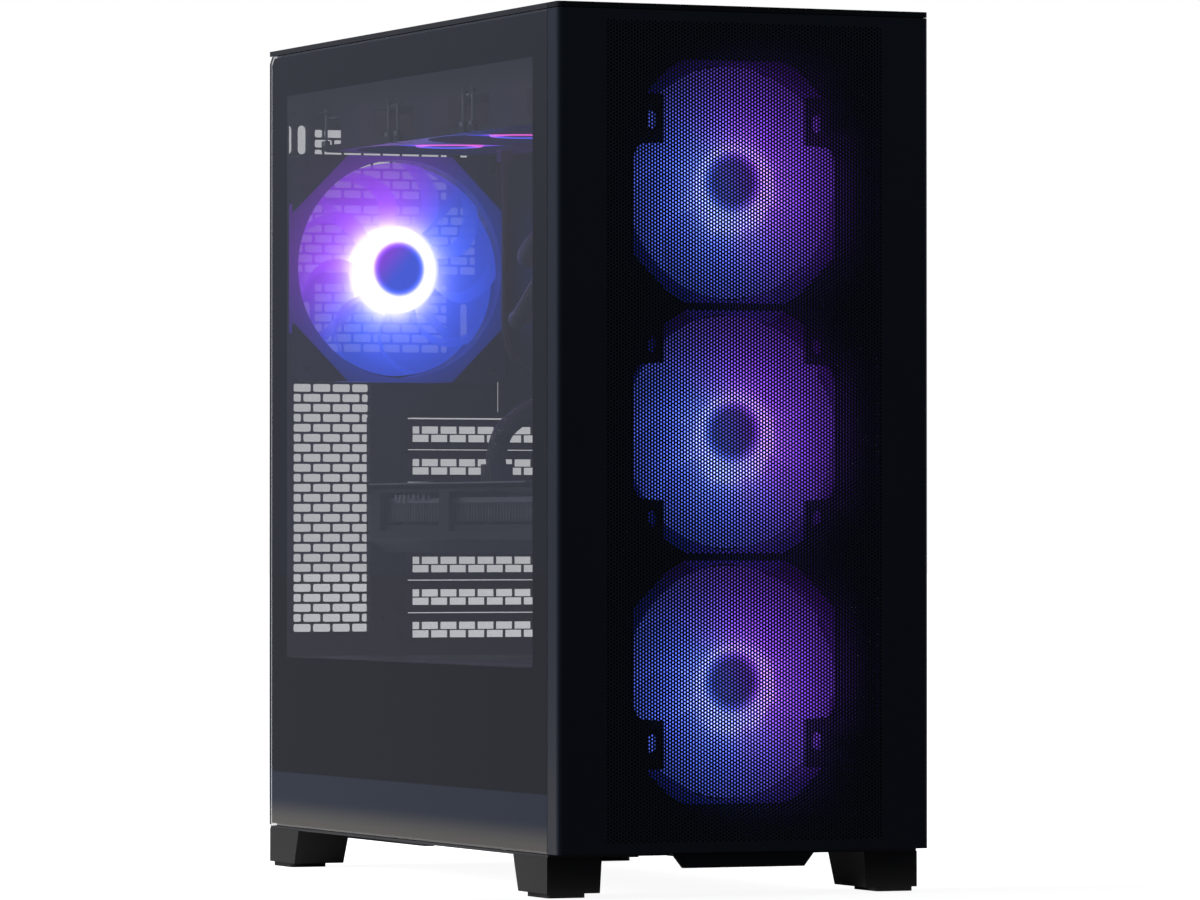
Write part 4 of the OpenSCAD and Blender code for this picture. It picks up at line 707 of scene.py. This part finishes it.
def folds(shapes, low, high, y):
    """Strips folded back from both upright edges, each a little into the plate."""
    for x in ((low.x, low.x + sheet), (high.x - sheet, high.x)):
        shapes.block((x[0], y[0], low.z + fold_end), (x[1], y[1], high.z - fold_end))

# %% Outline of an intake
half_width, half_height, intake_radius = mm(62.5, 69, 75.5)
fine_step, tab_x, corner = mm(0.5, 44, 8)
no_tab = (200, 200)


def intake_loop(hub, tabs):
    """An intake; tabs give, for its upper end 1 or lower end -1, where a tab starts and ends in mm."""
    steps, right = round(half_height / fine_step), []
    for step in range(-steps, steps + 1):
        z = step * fine_step
        x = min(half_width, math.sqrt(intake_radius ** 2 - z ** 2))
        start, end = mm(*tabs.get(1 if z > 0 else -1, no_tab)[:2])
        if start < abs(z) < end:
            x = min(x, tab_x)
        elif start - corner < abs(z) <= start:
            x = min(x, half_width - corner + math.sqrt(corner ** 2 - (abs(z) - start + corner) ** 2))
        right.append((x, z))
    left = [(-x, z) for x, z in reversed(right)]
    return [(hub.x + x, hub.z + z) for x, z in right + left]


# %% Front wall
low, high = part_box("front_wall")
sheet_y = (low.y, low.y + sheet)
outer_tab, inner_tab = (21, 49.5, 29, 40), (38.5, 70, 45, 54.5)
slot_x, slot_width = mm(51.5, 4.7)
screw_x, screw_hole, screw_rows = 98 * MM, 3.25 * MM, mm(47, 191.4, 333.6, 472)
loops = [box_loop((low.x, high.x), (low.z, high.z))]
for hub, tabs in zip(front_hubs, ({1: outer_tab}, {1: inner_tab, -1: inner_tab}, {-1: outer_tab})):
    loops.append(intake_loop(hub, tabs))
    for end, tab in tabs.items():
        slot_z = sorted(hub.z + end * v for v in mm(*tab[2:]))
        loops += [slot_loop(hub.x + side * slot_x, slot_z, slot_width) for side in (-1, 1)]
loops += [round_loop(x, z, screw_hole) for x in (-screw_x, screw_x) for z in screw_rows]
wall = Shapes()
plate(wall, loops, sheet_y)
folds(wall, low, high, (sheet_y[1] - overlap, high.y))
wall.make("intake_wall", [case_steel], "case", "case_steel", ["front_wall"])

# %% Openings of the rear panel
low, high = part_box("rear_panel")
socket_rows = (mm(37.3, 81.7), mm(281.2, 439.8))
slot_rows = (mm(-23, 77.5), mm(135.8, 277.3))
supply_bay = (mm(-69, 69), mm(35, 113), 3 * MM)
side_vents = (mm(-99, -49.6), (138.2 * MM, rear_hub.z - 71.2 * MM))
fan_vents = (mm(-47.1, 41.2, 42, 86.6), mm(-60, 60.2, -7, 40), mm(-47.1, 41.2, -56, -9))
fan_slots = (mm(-52.5, -45.7, -20.3), mm(52.5, -45.7, -20.3), mm(52.5, 49.3, 74.7))
top_slots_x, top_slots_z, vents_end = mm(-103, -93.7), mm(71, 89), 34 * MM
loops = [box_loop((low.x, high.x), (low.z, high.z)), box_loop(*socket_rows), box_loop(*slot_rows),
    box_loop(*supply_bay), *brick_loops(*side_vents, False)]
for left, right, down, up in fan_vents:
    vent_x = (rear_hub.x + left, min(rear_hub.x + right, vents_end))
    loops += brick_loops(vent_x, (rear_hub.z + down, rear_hub.z + up), True)
loops += [slot_loop(x, [rear_hub.z + v for v in top_slots_z], 5.4 * MM) for x in top_slots_x]
loops += [slot_loop(rear_hub.x + x, (rear_hub.z + down, rear_hub.z + up), 4.6 * MM)
    for x, down, up in fan_slots]
print(len(loops) - 1, "openings in the rear panel")

# %% Rear panel
sheet_y = (high.y - sheet, high.y)
rear = Shapes()
plate(rear, loops, sheet_y)
folds(rear, low, high, (low.y, sheet_y[0] + overlap))
rear.make("vented_rear", [case_steel], "case", "case_steel", ["rear_panel"])

# %% [markdown]
# ## Sleeved tubes and cables
# A CAD solid gives each cord its route. Here the same route becomes a smooth tube whose
# texture coordinates run along and round it in metres, so that the weave keeps one size. A
# bevelled curve would be quicker, but its texture coordinates stretch with the length.

# %% Smooth route
def smooth(route, steps=8):
    """A curve through every point of the route."""
    ends = [route[0] * 2 - route[1], *route, route[-1] * 2 - route[-2]]
    line = []
    for a, b, c, d in zip(ends, ends[1:], ends[2:], ends[3:]):
        square, cube = 2 * a - 5 * b + 4 * c - d, 3 * b - a - 3 * c + d
        for i in range(steps):
            t = i / steps
            line.append(0.5 * (2 * b + (c - a) * t + square * t * t + cube * t ** 3))
    return line + [route[-1]]


# %% Sleeved tube
def sleeved(name, route, width, material, slot, replaces, sides=20, pitch=cable_pitch):
    """A round tube along the route, which is in millimetres; the case holds both of its ends."""
    line = smooth([Vector(p) * MM for p in route])
    side = (line[1] - line[0]).orthogonal().normalized()
    angles = [math.tau * k / sides for k in range(sides)]
    points, along, length = [], [], 0.0
    for i, place in enumerate(line):
        ahead = (line[min(i + 1, len(line) - 1)] - line[max(i - 1, 0)]).normalized()
        side = (side - ahead * side.dot(ahead)).normalized()
        other = ahead.cross(side)
        length += (place - line[i - 1]).length if i else 0
        along.append(length)
        points += [place + (side * math.cos(a) + other * math.sin(a)) * width / 2 for a in angles]
    faces = []
    for i in range(len(line) - 1):
        near, far = i * sides, (i + 1) * sides
        faces += [(near + k, near + (k + 1) % sides, far + (k + 1) % sides, far + k) for k in range(sides)]
    last = (len(line) - 1) * sides
    tube = Shapes()
    tube.take(points, faces + [tuple(reversed(range(sides))), tuple(range(last, last + sides))])
    piece = tube.make(name, [material], "case", slot, replaces, True)
    girth = round(math.pi * width / pitch) * pitch
    layer = piece.data.uv_layers.new(name="UVMap").data
    for face in piece.data.polygons[:len(faces)]:
        i, k = divmod(face.index, sides)
        for corner, (u, v) in zip(face.loop_indices, ((i, k), (i, k + 1), (i + 1, k + 1), (i + 1, k))):
            layer[corner].uv = (along[u], v / sides * girth)
    return piece

# %% Coolant tubes
tube_width = 0.011
pump_x, pump_y, pump_z, tank_y, tank_z = 18, 68, 362, -172, 457
bends = (
    ((-34, -5, -6), (-50, -16, -14), (-56, -40, -10), (-54, -70, 12), (-50, -112, 42), (-44, -160, 66)),
    ((-34, -6, -4), (-47, -22, -4), (-50, -50, 6), (-44, -86, 20), (-32, -136, 36), (-20, -185, 44)))
for i, (tank_x, rise) in enumerate(((-20, -14), (6, 14))):
    z = pump_z + rise
    route = [(pump_x - out, pump_y, z) for out in (0, 6, 13)]
    route += [(30 + a, pump_y + b, z + c) for a, b, c in bends[i]]
    route += [(tank_x, tank_y + a, tank_z - b)
        for a, b in ((42, 35), (15, 31), (2, 20), (0, 10), (0, 5), (0, 0))]
    sleeved(f"coolant_tube_{i + 1}", route, tube_width, tube_sleeve, "tube_rubber", ["coolant_tubes"],
        pitch=tube_pitch)

# %% Cable and plug of the card
card_cable_width, board_cable_width, fan_lead_width = 0.012, 0.008, 0.004
route = [(-44, 27, 245.4), (-44, 27, 252.4), (-38, 25, 268.4), (-17, 19, 282.4), (15, 5, 294.4),
    (49, -33, 292.4), (76, -49, 286.4), (96, -49, 284.4)]
sleeved("card_power_cable", route, card_cable_width, cable_sleeve, "cable_sleeve", ["card_cable"])
plug_low, plug_high, rib_step = mm(-50.5, 18, 236.6), mm(-37, 36, 246.4), 4.1 * MM
plug = Shapes()
plug.block(plug_low, plug_high)
for k in range(4):
    plug.block((-0.0508, 0.0195 + k * rib_step, plug_low[2]), (-0.0504, 0.0215 + k * rib_step, 0.2452))
plug.make("card_power_plug", [socket_plastic], "case", "cable_sleeve", ["card_cable"], bevel=0.0005)

# %% Cables and plug of the board
for k, z in enumerate((348, 358.5, 369, 379.5), 1):
    route = [(59, -16.5, z), (53, -17.5, z), (50, -24.5, z), (58, -34.5, z + 1), (80, -42.5, z + 4),
        (94, -45.5, z + 6)]
    sleeved(f"board_power_cable_{k}", route, board_cable_width, cable_sleeve, "cable_sleeve",
        ["board_cable"], sides=14)
plug = Shapes()
plug.block(mm(59.2, -20.5, 341.4), mm(73, -14.5, 388.6))
plug.make("board_power_plug", [socket_plastic], "case", "cable_sleeve", ["board_cable"], bevel=0.0005)

# %% [markdown]
# ## Fan wheels
# A wheel is a cup with a lit ring round its rim and a set of curved blades. Each blade is a
# grid of points swept from the hub to the tip: it twists flatter towards the tip, bows along
# its chord, and its leading edge sweeps back, which is what makes such fans quiet. The grid
# is a bare sheet, so a solidify modifier gives it the thickness of moulded plastic.

# %% Hub and blade
blade_rows, blade_steps = 14, 12
early_bend, tip_bow = 0.12, 0.0026
root_chord, chord_lost, root_lift, lift_lost = 1.06, 0.02, 0.84, 0.26


def hub_cup(hub, back, face):
    """The profile of a cup with a lit, rounded rim and a shallow dish in its closed end."""
    return [(hub - 0.002, back + 0.001), (hub, back + 0.001), (hub, face - 0.0018),
        (hub - 0.0015, face - 0.0002), (hub * 0.8, face), (hub * 0.78, face - 0.0007),
        (hub * 0.4, face - 0.0004), (0.0005, face - 0.0002)]


def blade_points(root, reach, back, face, turn, half, sweep):
    """A grid from root to tip: flatter and swept back towards the tip, bowed along its chord."""
    points = []
    for i in range(blade_rows + 1):
        s = i / blade_rows
        radius = root + s * (reach - root)
        bend = turn + sweep * s * s - early_bend * math.sin(math.pi * s)
        for j in range(blade_steps + 1):
            t = j / blade_steps
            angle = bend + (2 * t - 1) * half * (root_chord - chord_lost * s)
            rise = (0.5 - t) * (face - back) * (root_lift - lift_lost * s) + tip_bow * math.sin(math.pi * t)
            points.append((radius * math.cos(angle), radius * math.sin(angle), (back + face) / 2 + rise))
    return points


# %% Wheel
blade_thickness, tip_gap, root_depth = 0.0012, 0.0002, 0.0006


def wheel(name, node, body, slot, place, facing, up, hub, count, blade, rim, cap, cover=1.0, sweep=0.35):
    """Blades and hub for one CAD rotor; the closed end of the hub looks along facing."""
    low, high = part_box(node)
    axis = Vector(facing)
    reach = sorted(high - low)[1] / 2 - tip_gap
    back, face = sorted(axis.dot(p - place) for p in (low, high))
    turned = Matrix((Vector(up).cross(axis), up, axis)).transposed().to_4x4()
    matrix = Matrix.Translation(place) @ turned
    cup = Shapes()
    cup.turned((0, 0, 0), (0, 0, 1), hub_cup(hub, back, face), 64, [1, 1, 1, 1, 1, 0, 0])
    cup.make(name + "_hub", [cap, rim], body, slot, [node], True, matrix=matrix)
    wide = blade_steps + 1
    faces = [(i * wide + j, (i + 1) * wide + j, (i + 1) * wide + j + 1, i * wide + j + 1)
        for i in range(blade_rows) for j in range(blade_steps)]
    blades = Shapes()
    for k in range(count):
        turn, half = math.tau * k / count, math.pi / count * cover
        blades.take(blade_points(hub - root_depth, reach, back, face, turn, half, sweep), faces)
    piece = blades.make(name, [blade], body, slot, [node], True, matrix=matrix)
    skin = piece.modifiers.new("thickness", "SOLIDIFY")
    skin.thickness, skin.offset = blade_thickness, 0

# %% Lit wheels of the front, the rear and the radiator
case_hub, slim_hub, lit_count = 0.027, 0.0216, 9
outward, downward = (0, -1, 0), (0, 0, -1)
for i, place in enumerate(front_hubs, 1):
    wheel(f"front_wheel_{i}", f"front_rotor_{i}", f"front_blades_{i}", "fan_blades", place, outward, upward,
        case_hub, lit_count, front_blades, front_ring, front_ring, 1.22)
wheel("rear_wheel", "rear_rotor", "rear_blades", "fan_blades", rear_hub, outward, upward,
    case_hub, lit_count, rear_blades, rear_ring, rear_ring, 1.16)
for i, place in enumerate(top_hubs, 1):
    wheel(f"radiator_wheel_{i}", f"radiator_rotor_{i}", f"radiator_blades_{i}", "fan_blades", place,
        downward, inward, slim_hub, lit_count, top_blades, top_ring, top_ring)

# %% Dark wheels of the card and the power supply
def dark_wheel(name, node, body, hub, count, cover, sweep):
    """A wheel that looks down, under the middle of its CAD rotor."""
    low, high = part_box(node)
    place = Vector(((low.x + high.x) / 2, (low.y + high.y) / 2, low.z))
    wheel(name, node, body, "dark_blades", place, downward, inward, hub, count,
        dark_blade, hub_cap, hub_cap, cover, sweep)


for i in (1, 2, 3):
    dark_wheel(f"card_wheel_{i}", f"card_rotor_{i}", f"card_blades_{i}", 0.015, 11, 0.86, 0.5)
dark_wheel("supply_wheel", "psu_rotor", "psu_blades", 0.02, 7, 0.8, 0.3)

# %% [markdown]
# ## Small hardware on the radiator
# Long screws hold the slim fans to the radiator, and clips close the fans' corners. Thin fins
# fold between the radiator's flat tubes. Seen from below they are bright short lines and a
# soft texture. A picture on the surface would be cheaper, but it goes flat at a slant, so each
# screw is a turned shape and each fin a thin block, all gathered in one mesh per piece.

# %% Screws and clips
side_x, screw_at, clip_half = top_low.x, 52.5 * MM, 4.8 * MM
screw_z, head_z, lower_clip, upper_clip = 0.4465, 0.4435, (0.4402, 0.4465), (0.4632, 0.4648)
hardware = Shapes()
for y in [hub.y + side * screw_at for hub in top_hubs for side in (-1, 1)]:
    axis_x = side_x - 0.6 * MM
    hardware.turned((axis_x, y, screw_z), upward, [(0.0009, 0), (0.0009, 0.0195)], 12)
    hardware.turned((axis_x, y, head_z), upward, [(0.0014, 0), (0.0024, 0.0008), (0.0024, 0.003)], 16)
    for stand_off, clip_z in ((2 * MM, lower_clip), (1.6 * MM, upper_clip)):
        low, high = (side_x - stand_off, y - clip_half, clip_z[0]), (side_x, y + clip_half, clip_z[1])
        hardware.block(low, high, 1)
# The screws are real steel; their light grey is a painted glint that stands in for reflections.
hardware.make("radiator_screws", [glint_grey, clip_plastic], "case", "screw_steel", bevel=0.0003)

# %% Radiator fins
low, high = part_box("radiator")
tube_step, fin_step, fin_thickness, fin_width = mm(9.9, 1.8, 0.35, 6.6)
first_tube, fin_inset, fin_depth, rows_end = mm(6, 1.2, 8.8, 56)
start, end = top_hubs[0].y - rows_end, top_hubs[2].y + rows_end
fin_rows, fins_in_row = 11, int((end - start) / fin_step)
fins = Shapes()
for x in [low.x + first_tube + row * tube_step for row in range(fin_rows)]:
    for y in [start + i * fin_step for i in range(fins_in_row)]:
        for z in ((low.z + fin_inset, low.z + fin_depth), (high.z - fin_depth, high.z - fin_inset)):
            fins.block((x, y, z[0]), (x + fin_width, y + fin_thickness, z[1]))
fins.make("radiator_fins", [dark_alloy], "case", "dark_alloy")

# %% Plate on the radiator's side, with a painted glow
label_y, label_z, label_thickness = (-0.163, -0.141), (0.471, 0.4772), 0.6 * MM
label = Shapes()
label.block((side_x - label_thickness, label_y[0], label_z[0]), (side_x, label_y[1], label_z[1]))
label.make("radiator_plate", [lit_plate], "case", "light_bar", bevel=0.0002)

# %% [markdown]
# ## Trim inside the case
# A lead drops from the fans to the board. Narrow lips stiffen the slot covers, and the card
# shows the edge of its board as a light strip, a painted highlight, with small parts behind
# it. They are tiny, but they are the only things that catch light in the dark half of the
# window, so they are real shapes.

# %% Fan lead
route = [(0, 121, 439), (0, 121, 432), (0, 121, 400), (0, 121, 360), (0, 121, 332), (5, 121, 314),
    (20, 122, 302), (40, 124, 297)]
sleeved("fan_lead", route, fan_lead_width, cable_sleeve, "cable_sleeve", [], 12)
joint = Shapes()
joint.block(mm(-4, 117, 432.5), mm(4, 125, 439.5))
joint.make("fan_lead_joint", [clip_plastic], "case", "cable_sleeve", bevel=0.0006)

# %% Slot cover lips
slot_pitch, first_slot, card_slot = 20.32 * MM, 9.4 * MM, 3
low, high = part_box("slot_covers")
lips = Shapes()
for k in [k for k in range(1, 7) if k != card_slot]:
    z = high.z - first_slot - (k - 0.5) * slot_pitch
    lips.block((low.x + 0.001, low.y - 0.0022, z - 0.0009), (high.x - 0.003, low.y - 0.0002, z + 0.0002))
lips.make("slot_lips", [case_steel], "case", "case_steel")

# %% Card edge
low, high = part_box("card_backplate")
edge = Shapes()
# A thin light strip along the backplate's top edge: a painted highlight.
edge.block((low.x - 0.0004, low.y + 0.046, high.z - 0.0012), (low.x, high.y - 0.004, high.z - 0.0003))
part_x, part_end, part_top = (low.x + 3.5 * MM, low.x + 6 * MM), high.y - 22 * MM, high.z - 7.5 * MM
# How far along the edge each small part sits, how wide and how tall it is, in mm
parts = ((15.5, 4, 3.4), (23.5, 3, 5), (29.2, 4.6, 5), (37.5, 2.6, 3.2), (44.5, 5.2, 3.6), (53.5, 3, 3),
    (62, 4, 4.2), (71, 2.4, 2.8))
for along, wide, tall in (mm(*part) for part in parts):
    edge.block((part_x[0], part_end - along - wide, part_top - tall),
        (part_x[1], part_end - along, part_top), 1)
edge.make("card_edge", [glint_grey, bare_screw], "case", "dark_alloy")

# %% [markdown]
# ## Gauze of the top filter
# Under the slats of the top filter lies a fine gauze that stops dust. Two layers of thin bars,
# one across and one along, look like a weave from any distance and cost few faces.

# %% Filter gauze
low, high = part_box("top_filter")
step, thread, margin = mm(2.1, 0.6, 4)
gauze = Shapes()
for i in range(1, int((high.x - low.x) / step)):
    x = low.x + i * step
    gauze.block((x, low.y + margin, low.z + 0.0003), (x + thread, high.y - margin, low.z + 0.0006))
for i in range(1, int((high.y - low.y) / step)):
    y = low.y + i * step
    gauze.block((low.x + margin, y, low.z + 0.0005), (high.x - margin, y + thread, low.z + 0.0008))
gauze.make("top_gauze", [foot_plastic], "top_dust_filter", "filter_mesh")

# %% [markdown]
# ## Room
# The tower stands in a white room, seen as plain white. What it mirrors is another matter:
# glass and satin steel show the dim room behind the viewer. One picture of a studio can't be
# both. So the world answers rays by kind: seen directly, or through the glass, it is white;
# in a reflection it is what stood there.

# %% World
world = bpy.data.worlds.new("room")
world.use_nodes = True
bpy.context.scene.world = world
tree, sky = Tree(world.node_tree), world.node_tree.nodes["Background"]
path = tree.add("LightPath").outputs
toward = tree.add("SeparateXYZ", {"Vector": tree.add("TexCoord").outputs["Generated"]}).outputs
low_wall, high_wall, dark_front = (0.207, 0.223, 0.29, 1), (0.28, 0.302, 0.38, 1), (0.035, 0.048, 0.07, 1)
ceiling, soft_wall, soft_front = (0.4, 0.4, 0.42, 1), (0.27, 0.28, 0.31, 1), (0.06, 0.075, 0.1, 1)
wall = tree.blend(tree.span(toward["Z"], 0.0, 0.12), low_wall, high_wall)
in_front = tree.span(toward["Y"], 0.0, -0.5)
mirrored = tree.blend(in_front, wall, dark_front)
mirrored = tree.blend(tree.span(toward["Z"], 0.35, 0.8), mirrored, ceiling)
onward = tree.math("MULTIPLY", path["Is Transmission Ray"], tree.math("GREATER_THAN", toward["X"], 0.0))
seen = tree.math("MAXIMUM", path["Is Camera Ray"], onward)
scattered = tree.blend(in_front, soft_wall, soft_front)
ambient = tree.blend(path["Is Glossy Ray"], scattered, mirrored)
tree.feed(sky.inputs["Color"], tree.blend(seen, ambient, (1, 1, 1, 1)))
print("world:", world.name)

# %% [markdown]
# ## Floor
# The floor works in the same way. It is white paper to the eye and keeps the tower's shadow,
# but what the glass mirrors of it is painted light and shade: a lit pale strip close by, then a
# dimmer, cooler floor, then its far edge, and a dark floor in front of the tower. A plane with a
# light of its own would show that strip too, but it would also light the tower from below. So
# one material picks its shader by the kind of ray that arrives.

# %% Floor in a reflection: painted light and shade
paper = bpy.data.materials.new("floor_paper")
paper.use_nodes = True
tree, paper_nodes = Tree(paper.node_tree), paper.node_tree.nodes
path = tree.add("LightPath").outputs
position = tree.add("NewGeometry").outputs["Position"]
spot = tree.add("SeparateXYZ", {"Vector": position}).outputs
near_glass, dim_from, floor_edge = -0.345, -0.53, -0.73
# Painted light and shade: the mirrored floor is bright near the glass, dim further off and dark in front.
dim_floor_mirrored, lit_floor_mirrored = (0.275, 0.3125, 0.43, 1), (0.75, 0.72, 0.7, 1)
beyond, front_floor_shade = (0.203, 0.213, 0.262, 1), (0.03, 0.032, 0.04, 1)
reflected = tree.blend(tree.span(spot["X"], dim_from, near_glass), dim_floor_mirrored, lit_floor_mirrored)
reflected = tree.blend(tree.math("GREATER_THAN", spot["X"], floor_edge), beyond, reflected)
reflected = tree.blend(tree.span(spot["Y"], -0.215, -0.25), reflected, front_floor_shade)
print("floor colours turn cool from", -near_glass, "m on")

# %% Floor by kind of ray
paper_grey, shaded_front = (0.6, 0.6, 0.61, 1), (0.06, 0.06, 0.07, 1)
glass_side_x, front_y = -0.116, -0.2
plain = paper_nodes["Principled BSDF"]
base = tree.blend(tree.span(spot["Y"], -0.15, -0.2), paper_grey, shaded_front)
tree.feed(plain.inputs["Base Color"], base)
plain.inputs["Roughness"].default_value = 0.9
plain.inputs["Specular IOR Level"].default_value = 0.1
whiteness = tree.span(tree.vector("LENGTH", position), 0.2, 0.6, 0.93, 1.0)
beside = tree.math("MAXIMUM", tree.math("LESS_THAN", spot["X"], glass_side_x),
    tree.math("LESS_THAN", spot["Y"], front_y))
mirrors = tree.math("MULTIPLY", path["Is Glossy Ray"], beside)
seen = tree.math("MAXIMUM", path["Is Camera Ray"], path["Is Transmission Ray"])
white = tree.add("Emission", {"Strength": whiteness}).outputs[0]
mirror_light = tree.add("Emission", {"Color": reflected}).outputs[0]
lit = tree.add("AddShader", {0: plain.outputs[0], 1: white}).outputs[0]
shown = tree.choose(mirrors, tree.choose(seen, plain.outputs[0], lit), mirror_light)
tree.feed(paper_nodes["Material Output"].inputs["Surface"], shown)
print("floor paper has", len(paper_nodes), "nodes")

# %% Floor sheet
far, below = 30, 0.2 * MM
floor_mesh = bpy.data.meshes.new("floor")
floor_mesh.from_pydata([(-far, -far, 0), (far, -far, 0), (far, far, 0), (-far, far, 0)], [], [(0, 1, 2, 3)])
floor_mesh.materials.append(paper)
floor = bpy.data.objects.new("floor", floor_mesh)
floor.location.z = cad_low.z - below
bpy.context.scene.collection.objects.link(floor)
print("floor at", round(floor.location.z / MM, 1), "mm")

# %% [markdown]
# ## Lamps
# Three softboxes light the tower: a large one on the glass side, one above, a weak one on the
# far side. Square lamps would show as square patches in the glass, so they are left out of
# reflections, and the world and the floor above give the glass all that it mirrors.

# %% Lamps
def lamp(name, place, width, watts):
    """A square softbox that looks at the middle of the tower and isn't mirrored in it."""
    light = bpy.data.lights.new(name, "AREA")
    light.size, light.energy = width, watts
    stand = bpy.data.objects.new(name, light)
    stand.location = place
    stand.rotation_euler = (tower_middle - Vector(place)).to_track_quat("-Z", "Y").to_euler()
    stand.visible_glossy = stand.visible_camera = False
    bpy.context.scene.collection.objects.link(stand)
    print("lamp", name, watts, "W")


tower_middle = (cad_low + cad_high) / 2
lamp("left_softbox", (-2.4, 0.3, 1.2), 1.6, 75)
lamp("top_softbox", (-0.3, -0.6, 2.6), 1.4, 26)
lamp("right_fill", (2.6, 0.6, 1.0), 1.4, 24)
